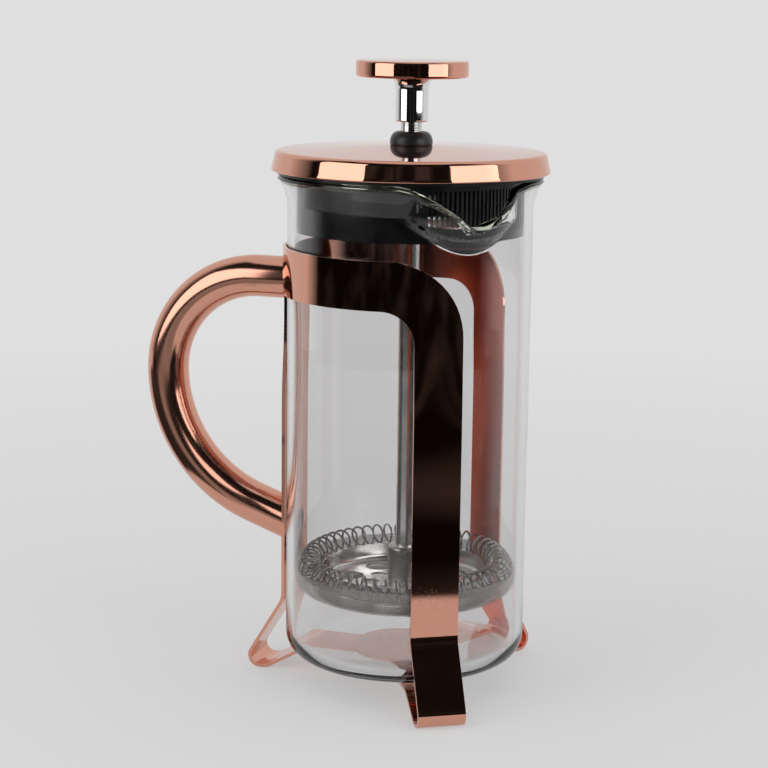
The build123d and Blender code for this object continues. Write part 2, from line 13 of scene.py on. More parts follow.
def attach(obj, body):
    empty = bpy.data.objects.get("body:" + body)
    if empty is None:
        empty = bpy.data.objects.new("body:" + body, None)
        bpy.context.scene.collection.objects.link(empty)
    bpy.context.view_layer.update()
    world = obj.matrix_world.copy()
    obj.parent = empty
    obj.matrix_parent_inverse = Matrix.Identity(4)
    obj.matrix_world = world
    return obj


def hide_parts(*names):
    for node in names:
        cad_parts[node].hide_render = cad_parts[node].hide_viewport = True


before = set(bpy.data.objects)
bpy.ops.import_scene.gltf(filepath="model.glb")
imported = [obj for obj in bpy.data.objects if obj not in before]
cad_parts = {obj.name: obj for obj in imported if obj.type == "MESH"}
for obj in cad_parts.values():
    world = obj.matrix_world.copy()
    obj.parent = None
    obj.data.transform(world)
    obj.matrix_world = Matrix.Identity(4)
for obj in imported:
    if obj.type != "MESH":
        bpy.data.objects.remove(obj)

log = logging.getLogger("french_press")

MM = 0.001
FULL_TURN = 2 * math.pi
MERGE_GAP = 0.0005
SLIVER = 0.0001
FIT_GAP = 0.02
LEVEL = (1, 1, 0)
SPOUT_ANGLE = -46.0
HANDLE_ANGLE = 180.0
CAMERA_ANGLE = -73.5


class Body(str, Enum):
    """The bodies that pieces ride on."""

    STAND = "stand"
    BEAKER = "beaker"
    LID = "lid"
    PLUNGER = "plunger"


class Slot(str, Enum):
    """The material slots of the record."""

    COPPER = "copper_plate"
    STEEL = "bright_steel"
    GLASS = "clear_glass"
    GLOSS = "black_gloss"
    SATIN = "black_satin"
    CHROME = "chrome_plate"
    FILTER = "filter_steel"
    MESH = "woven_mesh"


def put_in_scene(name: str, data: bpy.types.ID) -> bpy.types.Object:
    """Make an object and link it to the scene.

    Args:
        name: the object's name.
        data: its mesh, curve, camera or light.

    Returns:
        The object.
    """
    made = bpy.data.objects.new(name, data)
    bpy.context.scene.collection.objects.link(made)
    return made


def mesh_data(name: str, mesh: bmesh.types.BMesh) -> bpy.types.Mesh:
    """Make mesh data of a bmesh.

    Args:
        name: the data's name.
        mesh: the bmesh, which is used up.

    Returns:
        The mesh data.
    """
    data = bpy.data.meshes.new(name)
    mesh.to_mesh(data)
    mesh.free()
    return data


def spin_about(
    mesh: bmesh.types.BMesh,
    geometry: list,
    degrees: float,
    steps: int,
    centre: tuple = (0, 0, 0),
    axis: tuple = (0, 0, 1),
    merge: bool = False,
) -> dict:
    """Spin part of a mesh.

    Args:
        mesh: the mesh.
        geometry: its vertices and edges to spin.
        degrees: how far they turn.
        steps: how many steps the turn has.
        centre: the point they turn about.
        axis: the axis they turn about.
        merge: whether the last step joins the first.

    Returns:
        What the operator gives.
    """
    return bmesh.ops.spin(
        mesh,
        geom=geometry,
        cent=centre,
        axis=axis,
        dvec=(0, 0, 0),
        angle=math.radians(degrees),
        steps=steps,
        use_merge=merge,
    )


def shares(count: int) -> list[float]:
    """Equal steps that end at 1."""
    return [step / count for step in range(1, count + 1)]


class NodeDesk:
    """A node tree being wired, with short calls for the nodes the finishes need."""

    def __init__(self, tree: bpy.types.NodeTree) -> None:
        """Start on an empty tree.

        Args:
            tree: the material, world or group tree to fill.
        """
        self.tree = tree
        tree.nodes.clear()

    def add(self, kind: str, inputs: dict | None = None, **settings: object) -> bpy.types.Node:
        """Add a node.

        Args:
            kind: the node's type name without its ShaderNode prefix.
            inputs: socket name or index to a value or to another node's output socket.
            settings: properties of the node itself.

        Returns:
            The new node.
        """
        node = self.tree.nodes.new(kind if kind.startswith("NodeGroup") else "ShaderNode" + kind)
        for key, value in settings.items():
            setattr(node, key, value)
        for key, value in (inputs or {}).items():
            self.put(node.inputs[key], value)
        return node

    def put(self, socket: bpy.types.NodeSocket, value: object) -> None:
        """Link a socket to another socket, or set its value.

        Args:
            socket: the input socket.
            value: an output socket, or the value itself.
        """
        if isinstance(value, bpy.types.NodeSocket):
            self.tree.links.new(value, socket)
        else:
            socket.default_value = value

    def math(
        self, operation: str, first: object, second: object = 0.0, clamp: bool = False
    ) -> bpy.types.NodeSocket:
        """A math node's result."""
        return self.add("Math", {0: first, 1: second}, operation=operation, use_clamp=clamp).outputs[0]

    def vector(self, operation: str, first: object, second: object = (0, 0, 0)) -> bpy.types.NodeSocket:
        """A vector math node's vector."""
        return self.add("VectorMath", {0: first, 1: second}, operation=operation).outputs["Vector"]

    def measure(self, operation: str, first: object, second: object = (0, 0, 0)) -> bpy.types.NodeSocket:
        """A vector math node's number."""
        return self.add("VectorMath", {0: first, 1: second}, operation=operation).outputs["Value"]

    def spread(
        self, value: object, low: float, high: float, start: float = 0.0, end: float = 1.0
    ) -> bpy.types.NodeSocket:
        """A value carried from the range low to high onto the range start to end, and held at its ends."""
        inputs = {"Value": value, "From Min": low, "From Max": high, "To Min": start, "To Max": end}
        return self.add("MapRange", inputs, clamp=True).outputs["Result"]

    def noise(self, vector: object, scale: float, detail: float = 2.0) -> bpy.types.NodeSocket:
        """A noise texture's value."""
        return self.add("TexNoise", {"Vector": vector, "Scale": scale, "Detail": detail}).outputs["Fac"]

    def mapped(self, vector: object, turn: tuple, scale: tuple) -> bpy.types.NodeSocket:
        """Coordinates turned and stretched."""
        return self.add("Mapping", {"Vector": vector, "Rotation": turn, "Scale": scale}).outputs["Vector"]

    def blend(self, share: object, first: object, second: object) -> bpy.types.NodeSocket:
        """Mix two colours.

        Args:
            share: how much of the second one shows, from 0 to 1.
            first: the first colour.
            second: the second colour.

        Returns:
            The mixed colour.
        """
        node = self.add("Mix", {}, data_type="RGBA")
        self.put(node.inputs["Factor"], share)
        self.put(node.inputs["A"], first)
        self.put(node.inputs["B"], second)
        return node.outputs["Result"]

    def raise_surface(self, shader: bpy.types.Node, height: object) -> None:
        """Let a height in metres shape a shader's normal."""
        bump = self.add("Bump", {"Strength": 1.0, "Distance": 1.0, "Height": height})
        self.put(shader.inputs["Normal"], bump.outputs["Normal"])


class Effects:
    """The surface effects that several finishes share, as node groups."""

    CLOUD_SCALE: float = 55.0
    CLOUD_RANGE: tuple = (0.42, 0.7)
    PATCH_SCALE: float = 17.0
    PATCH_RANGE: tuple = (0.4, 0.65)
    RIPPLE_SCALE: float = 38.0
    HAIRLINES: tuple = ((0.4, 30.0), (1.9, 44.0), (2.7, 26.0))
    HAIRLINE_TILT: float = 0.7
    HAIRLINE_FINENESS: float = 2600.0
    HAIRLINE_RANGE: tuple = (0.76, 0.82)
    SCRATCHED_RANGE: tuple = (0.45, 0.62)
    STAIN_SCALE: float = 140.0
    WIRE_RANGE: tuple = (0.935, 0.98)

    def __init__(self) -> None:
        """Build each group once."""
        self.wear = self.handling_wear()
        self.grain = self.drawn_grain()
        self.weave = self.wire_weave()

    @staticmethod
    def start(name: str, inputs: dict[str, str], outputs: list[str]) -> tuple:
        """Open a group with its sockets.

        Args:
            name: the group's name.
            inputs: socket name to socket type.
            outputs: names of the float outputs.

        Returns:
            The group, its desk, its input node and its output node.
        """
        group = bpy.data.node_groups.new(name, "ShaderNodeTree")
        for socket, kind in inputs.items():
            group.interface.new_socket(socket, in_out="INPUT", socket_type=kind)
        for socket in outputs:
            group.interface.new_socket(socket, in_out="OUTPUT", socket_type="NodeSocketFloat")
        desk = NodeDesk(group)
        return group, desk, desk.add("NodeGroupInput"), desk.add("NodeGroupOutput")

    def handling_wear(self) -> bpy.types.NodeTree:
        """Smudges, fine hairline scratches and a slow ripple, for polished and moulded surfaces.

        Returns:
            The group, whose outputs run from 0 to 1.
        """
        inputs = {"Vector": "NodeSocketVector", "Size": "NodeSocketFloat"}
        group, desk, given, result = self.start("handling_wear", inputs, ["Smudge", "Scratch", "Ripple"])
        sockets = {0: given.outputs["Vector"], "Scale": given.outputs["Size"]}
        point = desk.add("VectorMath", sockets, operation="SCALE").outputs["Vector"]
        cloud = desk.noise(point, self.CLOUD_SCALE, 4.0)
        patch = desk.noise(point, self.PATCH_SCALE, 2.0)
        smeared = desk.spread(patch, *self.PATCH_RANGE)
        smudge = desk.math("MULTIPLY", desk.spread(cloud, *self.CLOUD_RANGE), smeared)
        lines = []
        for turn, stretch in self.HAIRLINES:
            narrow = (stretch, self.HAIRLINE_FINENESS, self.HAIRLINE_FINENESS)
            along = desk.mapped(point, (turn, self.HAIRLINE_TILT * turn, turn), narrow)
            lines.append(desk.spread(desk.noise(along, 1.0, 0.0), *self.HAIRLINE_RANGE))
        crossing = desk.math("MAXIMUM", desk.math("MAXIMUM", lines[0], lines[1]), lines[2])
        scratch = desk.math("MULTIPLY", crossing, desk.spread(patch, *self.SCRATCHED_RANGE))
        desk.put(result.inputs["Smudge"], smudge)
        desk.put(result.inputs["Scratch"], scratch)
        desk.put(result.inputs["Ripple"], desk.noise(point, self.RIPPLE_SCALE, 1.0))
        return group

    def drawn_grain(self) -> bpy.types.NodeTree:
        """The rings that spinning or pressing leaves in sheet steel, about the upright axis.

        Returns:
            The group, with the rings and the cloudy stains of the sheet.
        """
        group, desk, given, result = self.start(
            "drawn_grain", {"Vector": "NodeSocketVector", "Rings": "NodeSocketFloat"}, ["Line", "Cloud"]
        )
        parts = desk.add("SeparateXYZ", {0: given.outputs["Vector"]})
        level = desk.add("CombineXYZ", {0: parts.outputs["X"], 1: parts.outputs["Y"]})
        radius = desk.measure("LENGTH", level.outputs[0])
        rings = desk.math("MULTIPLY", radius, given.outputs["Rings"])
        height = desk.math("MULTIPLY", parts.outputs["Z"], given.outputs["Rings"])
        along = desk.add("CombineXYZ", {0: rings, 1: height})
        desk.put(result.inputs["Line"], desk.noise(along.outputs[0], 1.0, 3.0))
        desk.put(result.inputs["Cloud"], desk.noise(given.outputs["Vector"], self.STAIN_SCALE, 3.0))
        return group

    def wire_weave(self) -> bpy.types.NodeTree:
        """A plain weave of round wires on coordinates in millimetres.

        Returns:
            The group, with the place of the wires and the height of their backs.
        """
        group, desk, given, result = self.start(
            "wire_weave", {"Vector": "NodeSocketVector", "Pitch": "NodeSocketFloat"}, ["Wire", "Height"]
        )
        parts = desk.add("SeparateXYZ", {0: given.outputs["Vector"]})
        waves = []
        for axis in ("X", "Y"):
            count = desk.math("DIVIDE", parts.outputs[axis], given.outputs["Pitch"])
            waves.append(desk.math("ABSOLUTE", desk.math("SINE", desk.math("MULTIPLY", count, math.pi))))
        height = desk.math("MAXIMUM", waves[0], waves[1])
        desk.put(result.inputs["Wire"], desk.spread(height, *self.WIRE_RANGE))
        desk.put(result.inputs["Height"], height)
        return group


@dataclass(frozen=True)
class Plating:
    """A polished plated metal, hazier in its smudges and, if given, with a painted warm reflection: another
    colour on the faces of its front half that look towards the axis.
    """

    name: str
    colour: tuple = (0.74, 0.365, 0.262, 1)
    smudged: tuple = (0.68, 0.33, 0.235, 1)
    gloss: float = 0.035
    haze: float = 0.1
    smudge_share: float = 0.5
    scratch_share: float = 0.7
    scratch_depth: float = 0.000002
    ripple_depth: float = 0.00002
    # inner is a painted reflection: a warm red laid on front-half faces that look towards the axis, with
    # inner_haze as their roughness.
    inner: tuple | None = None
    inner_haze: float = 0.3
    inner_facing: tuple = (-0.4, -0.8)
    front_half: tuple = (-0.012, 0.006)

    def material(self, effects: Effects) -> bpy.types.Material:
        """Build the finish.

        Args:
            effects: the shared node groups.

        Returns:
            The material.
        """
        material, desk, shader = open_material(self.name)
        coordinates = desk.add("TexCoord").outputs
        place = coordinates["Object"]
        wear = desk.add("Group", {"Vector": place, "Size": 1.0}, node_tree=effects.wear)
        scratch = wear.outputs["Scratch"]
        smears = desk.math("MULTIPLY", wear.outputs["Smudge"], self.smudge_share)
        marks = desk.math("MAXIMUM", smears, desk.math("MULTIPLY", scratch, self.scratch_share))
        colour = desk.blend(marks, self.colour, self.smudged)
        rough = desk.spread(marks, 0, 1, self.gloss, self.haze)
        # Painted reflection: faces of the front half that look towards the axis take the warm inner colour.
        if self.inner is not None:
            painted_reflection_share = self.painted_reflection_share(desk, place, coordinates["Normal"])
            colour = desk.blend(painted_reflection_share, colour, self.inner)
            rough = desk.math("MAXIMUM", rough, desk.math("MULTIPLY", painted_reflection_share, self.inner_haze))
        desk.put(shader.inputs["Base Color"], colour)
        desk.put(shader.inputs["Roughness"], rough)
        shader.inputs["Metallic"].default_value = 1.0
        cut = desk.math("MULTIPLY", scratch, -self.scratch_depth)
        swell = desk.math("MULTIPLY", wear.outputs["Ripple"], self.ripple_depth)
        desk.raise_surface(shader, desk.math("ADD", cut, swell))
        return material

    def painted_reflection_share(self, desk: NodeDesk, place: object, normal: object) -> bpy.types.NodeSocket:
        """How far a face in the front half looks towards the upright axis; this share carries the painted
        warm reflection.

        Args:
            desk: the material's desk.
            place: Object coordinates.
            normal: the face's direction in the same coordinates.

        Returns:
            The share, from 0 to 1.
        """
        outward = desk.vector("NORMALIZE", desk.vector("MULTIPLY", place, LEVEL))
        facing = desk.measure("DOT_PRODUCT", outward, normal)
        forward = desk.add("SeparateXYZ", {0: place}).outputs["X"]
        front = desk.spread(forward, *self.front_half)
        return desk.math("MULTIPLY", desk.spread(facing, *self.inner_facing), front)


@dataclass(frozen=True)
class Moulding:
    """A moulded black plastic."""

    name: str
    colour: tuple = (0.012, 0.012, 0.013, 1)
    dusty: tuple = (0.03, 0.03, 0.031, 1)
    gloss: float = 0.12
    haze: float = 0.3
    pore_depth: float = 0.000015
    pore_scale: float = 3200.0
    wear_size: float = 1.6
    bending: float = 1.5
    sheen: float = 0.22

    def material(self, effects: Effects) -> bpy.types.Material:
        """Build the finish.

        Args:
            effects: the shared node groups.

        Returns:
            The material.
        """
        material, desk, shader = open_material(self.name)
        place = desk.add("TexCoord").outputs["Object"]
        wear = desk.add("Group", {"Vector": place, "Size": self.wear_size}, node_tree=effects.wear)
        smudge = wear.outputs["Smudge"]
        desk.put(shader.inputs["Base Color"], desk.blend(smudge, self.colour, self.dusty))
        desk.put(shader.inputs["Roughness"], desk.spread(smudge, 0, 1, self.gloss, self.haze))
        shader.inputs["IOR"].default_value = self.bending
        shader.inputs["Specular IOR Level"].default_value = self.sheen
        pores = desk.noise(place, self.pore_scale)
        desk.raise_surface(shader, desk.math("MULTIPLY", pores, self.pore_depth))
        return material


@dataclass(frozen=True)
class DrawnSteel:
    """Pressed or turned steel with fine rings."""

    name: str
    colour: tuple = (0.70, 0.69, 0.68, 1)
    dull: tuple = (0.52, 0.51, 0.50, 1)
    gloss: float = 0.09
    haze: float = 0.24
    rings: float = 6500.0
    ring_depth: float = 0.000012
    ring_share: float = 0.4
    cloud_range: tuple = (0.38, 0.68)
    rough_range: tuple = (0.1, 1.2)

    def material(self, effects: Effects) -> bpy.types.Material:
        """Build the finish.

        Args:
            effects: the shared node groups.

        Returns:
            The material.
        """
        material, desk, shader = open_material(self.name)
        place = desk.add("TexCoord").outputs["Object"]
        grain = desk.add("Group", {"Vector": place, "Rings": self.rings}, node_tree=effects.grain)
        cloud = desk.spread(grain.outputs["Cloud"], *self.cloud_range)
        desk.put(shader.inputs["Base Color"], desk.blend(cloud, self.colour, self.dull))
        ringed = desk.math("MULTIPLY", grain.outputs["Line"], self.ring_share)
        rough = desk.spread(desk.math("ADD", cloud, ringed), *self.rough_range, self.gloss, self.haze)
        desk.put(shader.inputs["Roughness"], rough)
        shader.inputs["Metallic"].default_value = 1.0
        desk.raise_surface(shader, desk.math("MULTIPLY", grain.outputs["Line"], self.ring_depth))
        return material


@dataclass(frozen=True)
class WovenScreen:
    """A fine wire screen that lets light through between its wires."""

    name: str
    wire: tuple = (0.54, 0.51, 0.48, 1)
    gap: tuple = (0.3, 0.29, 0.28, 1)
    pitch: float = 0.62
    cover: float = 0.06
    gloss: float = 0.36
    wire_depth: float = 0.0001

    def material(self, effects: Effects) -> bpy.types.Material:
        """Build the finish.

        Args:
            effects: the shared node groups.

        Returns:
            The material.
        """
        material, desk, shader = open_material(self.name)
        flat = desk.add("UVMap", uv_map="weave").outputs["UV"]
        weave = desk.add("Group", {"Vector": flat, "Pitch": self.pitch}, node_tree=effects.weave)
        wires = weave.outputs["Wire"]
        desk.put(shader.inputs["Base Color"], desk.blend(wires, self.gap, self.wire))
        desk.put(shader.inputs["Alpha"], desk.spread(wires, 0, 1, self.cover, 1.0))
        shader.inputs["Metallic"].default_value = 1.0
        shader.inputs["Roughness"].default_value = self.gloss
        desk.raise_surface(shader, desk.math("MULTIPLY", weave.outputs["Height"], self.wire_depth))
        return material


@dataclass(frozen=True)
class BlownGlass:
    """Clear glass with a grey body, a green cast in its depth and a faint waviness."""

    name: str
    tint: tuple = (0.905, 0.895, 0.90, 1)
    lip_tint: tuple = (0.66, 0.72, 0.56, 1)
    depth_colour: tuple = (0.6, 0.72, 0.65, 1)
    depth_density: float = 12.0
    wave_depth: float = 0.00004
    smear: float = 0.03
    wear_size: float = 0.8
    bending: float = 1.47

    def material(self, effects: Effects) -> bpy.types.Material:
        """Build the finish.

        Args:
            effects: the shared node groups.

        Returns:
            The material.
        """
        material, desk, shader = open_material(self.name)
        place = desk.add("TexCoord").outputs["Object"]
        wear = desk.add("Group", {"Vector": place, "Size": self.wear_size}, node_tree=effects.wear)
        lip = desk.add("Attribute", attribute_name="lip").outputs["Fac"]
        desk.put(shader.inputs["Base Color"], desk.blend(lip, self.tint, self.lip_tint))
        shader.inputs["Transmission Weight"].default_value = 1.0
        shader.inputs["IOR"].default_value = self.bending
        desk.put(shader.inputs["Roughness"], desk.spread(wear.outputs["Smudge"], 0, 1, 0.0, self.smear))
        desk.raise_surface(shader, desk.math("MULTIPLY", wear.outputs["Ripple"], self.wave_depth))
        depth = desk.add("VolumeAbsorption", {"Color": self.depth_colour, "Density": self.depth_density})
        out = next(node for node in desk.tree.nodes if node.type == "OUTPUT_MATERIAL")
        desk.put(out.inputs["Volume"], depth.outputs["Volume"])
        return material


def blank_material(name: str) -> tuple[bpy.types.Material, NodeDesk]:
    """Start an empty material.

    Args:
        name: the material's name.

    Returns:
        The material and its desk.
    """
    material = bpy.data.materials.new(name)
    material.use_nodes = True
    return material, NodeDesk(material.node_tree)


def open_material(name: str) -> tuple[bpy.types.Material, NodeDesk, bpy.types.Node]:
    """Start a material with its shader wired to the output.

    Args:
        name: the material's name.

    Returns:
        The material, its desk and its Principled shader.
    """
    material, desk = blank_material(name)
    shader = desk.add("BsdfPrincipled")
    desk.add("OutputMaterial", {"Surface": shader.outputs["BSDF"]})
    return material, desk, shader


class Finishes:
    """Every finish of the press, built once and looked up by the record's slot."""

    def __init__(self) -> None:
        """Build the node groups and the materials."""
        effects = Effects()
        chrome = Plating(
            "bright_chrome",
            colour=(0.80, 0.80, 0.81, 1),
            smudged=(0.72, 0.72, 0.73, 1),
            gloss=0.03,
            scratch_depth=0.000001,
            ripple_depth=0.000006,
        )
        zinc = DrawnSteel(
            "zinc_plated_steel", colour=(0.66, 0.66, 0.67, 1), dull=(0.5, 0.5, 0.5, 1), gloss=0.2, haze=0.35
        )
        satin = Moulding("satin_black_moulding", gloss=0.34, haze=0.5, pore_depth=0.00003, sheen=0.5)
        made = {
            # The copper's inner colour is a painted warm reflection on front-half faces that look towards
            # the axis.
            Slot.COPPER: Plating("rose_copper_plating", inner=(1.0, 0.17, 0.075, 1)),
            Slot.CHROME: chrome,
            Slot.STEEL: zinc,
            Slot.FILTER: DrawnSteel("pressed_filter_steel"),
            Slot.MESH: WovenScreen("woven_screen"),
            Slot.GLOSS: Moulding("gloss_black_moulding"),
            Slot.SATIN: satin,
            Slot.GLASS: BlownGlass("blown_glass"),
        }
        self.materials = {slot: finish.material(effects) for slot, finish in made.items()}
        # A darker copy of the filter steel for the coil: painted shade standing in for the dark
        # surroundings its thin wires mirror.
        wire = DrawnSteel(
            "shaded_spring_wire", colour=(0.40, 0.385, 0.37, 1), dull=(0.28, 0.27, 0.26, 1), gloss=0.12, haze=0.26
        )
        hub = DrawnSteel(
            "turned_hub",
            colour=(0.56, 0.54, 0.53, 1),
            dull=(0.44, 0.43, 0.42, 1),
            gloss=0.2,
            haze=0.34,
            rings=5200.0,
        )
        self.shaded_spring_wire = wire.material(effects)
        self.turned_hub = hub.material(effects)
        self.buffed_copper = Plating("buffed_copper", gloss=0.13, haze=0.19).material(effects)

    def __getitem__(self, slot: Slot) -> bpy.types.Material:
        """The material of a slot."""
        return self.materials[slot]


class Pen:
    """A profile drawn in the plane of radius and height, in millimetres, to be turned about the axis."""

    def __init__(self, radius: float, height: float) -> None:
        """Put the pen down.

        Args:
            radius: radius of the first point.
            height: height of the first point.
        """
        self.mesh = bmesh.new()
        self.tip = self.mesh.verts.new((radius, 0, height))
        self.first = self.tip

    def line(self, radius: float, height: float, steps: int = 1) -> "Pen":
        """Draw a straight line.

        Args:
            radius: radius of its end.
            height: height of its end.
            steps: how many edges it is made of.

        Returns:
            The pen, for the next stroke.
        """
        stride = (Vector((radius, 0, height)) - self.tip.co) / steps
        for _ in range(steps):
            grown = bmesh.ops.extrude_vert_indiv(self.mesh, verts=[self.tip])
            self.tip = grown["verts"][0]
            self.tip.co += stride
        return self

    def arc(self, radius: float, height: float, degrees: float, steps: int = 8) -> "Pen":
        """Draw an arc about a centre, turning from +radius towards +height for a positive angle.

        Args:
            radius: radius of the arc's centre.
            height: height of the arc's centre.
            degrees: how far it turns.
            steps: how many edges it is made of.

        Returns:
            The pen, for the next stroke.
        """
        centre = Vector((radius, 0, height))
        step = Matrix.Rotation(-math.radians(degrees) / steps, 3, "Y")
        for _ in range(steps):
            grown = bmesh.ops.extrude_vert_indiv(self.mesh, verts=[self.tip])
            self.tip = grown["verts"][0]
            bmesh.ops.rotate(self.mesh, verts=[self.tip], cent=centre, matrix=step)
        return self

    def close(self) -> "Pen":
        """Draw a straight line back to the start."""
        self.mesh.edges.new((self.tip, self.first))
        return self

    def turn(self, steps: int = 128) -> bmesh.types.BMesh:
        """Spin the profile all the way round.

        Args:
            steps: how many steps the turn has.

        Returns:
            The turned mesh.
        """
        spin_about(self.mesh, self.mesh.verts[:] + self.mesh.edges[:], 360.0, steps, merge=True)
        bmesh.ops.remove_doubles(self.mesh, verts=self.mesh.verts, dist=MERGE_GAP)
        bmesh.ops.dissolve_degenerate(self.mesh, dist=SLIVER, edges=self.mesh.edges)
        return self.mesh


class Workshop:
    """Turns meshes into finished pieces of the press, and dresses the CAD nodes that stay."""

    def __init__(self, finishes: Finishes) -> None:
        """Keep the finishes at hand."""
        self.finishes = finishes

    def piece(
        self,
        name: str,
        mesh: bmesh.types.BMesh,
        slot: Slot,
        body: Body,
        stands_for: tuple[str, ...],
        sharp: float = 50.0,
    ) -> bpy.types.Object:
        """Make a piece of a mesh in millimetres.

        Args:
            name: the piece's name.
            mesh: its mesh, which is used up.
            slot: the slot whose finish it gets.
            body: the body it rides on.
            stands_for: the CAD nodes it replaces.
            sharp: the angle in degrees from which an edge shows as sharp.

        Returns:
            The piece.
        """
        bmesh.ops.recalc_face_normals(mesh, faces=mesh.faces)
        bmesh.ops.scale(mesh, vec=(MM, MM, MM), verts=mesh.verts)
        return self.place(name, mesh_data(name, mesh), slot, body, stands_for, sharp)

    def place(
        self,
        name: str,
        data: bpy.types.Mesh,
        slot: Slot,
        body: Body,
        stands_for: tuple[str, ...],
        sharp: float,
    ) -> bpy.types.Object:
        """Make a piece of mesh data in metres.

        Args:
            name: the piece's name.
            data: its mesh data.
            slot: the slot whose finish it gets.
            body: the body it rides on.
            stands_for: the CAD nodes it replaces.
            sharp: the angle in degrees from which an edge shows as sharp.

        Returns:
            The piece.
        """
        data.shade_smooth()
        data.set_sharp_from_angle(angle=math.radians(sharp))
        data.materials.clear()
        data.materials.append(self.finishes[slot])
        made = put_in_scene(name, data)
        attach(made, body.value)
        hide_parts(*stands_for)
        log.info("%s: %d faces on %s, for %s", name, len(data.polygons), body.value, ", ".join(stands_for))
        return made

    @staticmethod
    def true_up(made: bpy.types.Object) -> None:
        """Let a piece's broad faces set its shading, so that its roundings stay small in reflections.

        Args:
            made: the piece.
        """
        even = made.modifiers.new("true_shading", "WEIGHTED_NORMAL")
        even.mode = "FACE_AREA"
        even.weight = 100
        even.keep_sharp = True

    def dress(self, node: str, slot: Slot) -> None:
        """Give a CAD node that stays its finish.

        Args:
            node: the node's name.
            slot: the slot whose finish it gets.
        """
        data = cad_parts[node].data
        data.materials.clear()
        data.materials.append(self.finishes[slot])
        log.info("%s: CAD node in %s", node, slot.value)

    @staticmethod
    def soften(made: bpy.types.Object, width: float, angle: float = 50.0) -> None:
        """Round a piece's sharp edges.

        Args:
            made: the piece.
            width: width of the rounding in millimetres.
            angle: the edge angle in degrees from which it applies.
        """
        bevel = made.modifiers.new("soft_edges", "BEVEL")
        bevel.width = width * MM
        bevel.segments = 2
        bevel.limit_method = "ANGLE"
        bevel.angle_limit = math.radians(angle)
        bevel.harden_normals = True


@dataclass
class StripPath:
    """The line that the stand's sheet follows from the band's top to the end under the beaker."""

    corners: tuple = ((36.8, 132.3), (36.8, 22.5), (50.1, 0.5), (42.2, 0.5), (31.5, 6.6), (9.0, 6.6))
    bends: tuple = (8.0, 3.2, 4.0, 6.0)
    stretches: list = field(default_factory=list)
    length: float = 0.0

    def __post_init__(self) -> None:
        """Split the line into straight runs and bends."""
        points = [Vector(corner) for corner in self.corners]
        start = points[0]
        for before, corner, after, radius in zip(points, points[1:], points[2:], self.bends):
            come = (corner - before).normalized()
            leave = (after - corner).normalized()
            turn = come.angle_signed(leave)
            tangent = radius * math.tan(abs(turn) / 2)
            self.run(start, corner - come * tangent)
            self.bend(corner - come * tangent, come, turn, radius)
            start = corner + leave * tangent
        self.run(start, points[-1])

    def run(self, start: Vector, end: Vector) -> None:
        """Add a straight run.

        Args:
            start: where it begins, as (radius, height).
            end: where it ends.
        """
        span = end - start
        self.stretches.append((self.length, span.length, start, span.normalized(), 0.0))
        self.length += span.length

    def bend(self, start: Vector, heading: Vector, turn: float, radius: float) -> None:
        """Add a bend; a positive turn is clockwise."""
        self.stretches.append((self.length, radius * abs(turn), start, heading, turn))
        self.length += radius * abs(turn)

    def at(self, distance: float) -> Vector:
        """Radius and height at a distance along the line.

        Args:
            distance: millimetres from the band's top.

        Returns:
            The point as (radius, height).
        """
        stretch = self.stretches[-1]
        for candidate in self.stretches:
            if distance <= candidate[0] + candidate[1]:
                stretch = candidate
                break
        begin, length, start, heading, turn = stretch
        along = distance - begin
        if turn == 0.0:
            return start + heading * along
        radius = length / abs(turn)
        side = Vector((heading.y, -heading.x)) * math.copysign(1, turn)
        swept = along / radius
        return start + heading * (radius * math.sin(swept)) + side * (radius * (1 - math.cos(swept)))

    def cuts(self, fine: float, coarse: float) -> list[float]:
        """Distances at which the flat sheet is cut so that it can bend.

        Args:
            fine: spacing in a bend.
            coarse: spacing in a straight run.

        Returns:
            The distances, in order.
        """
        found = []
        for begin, length, _, _, turn in self.stretches:
            count = max(1, round(length / (fine if turn else coarse)))
            found += [begin + length * step / count for step in range(1, count + 1)]
        return found[:-1]


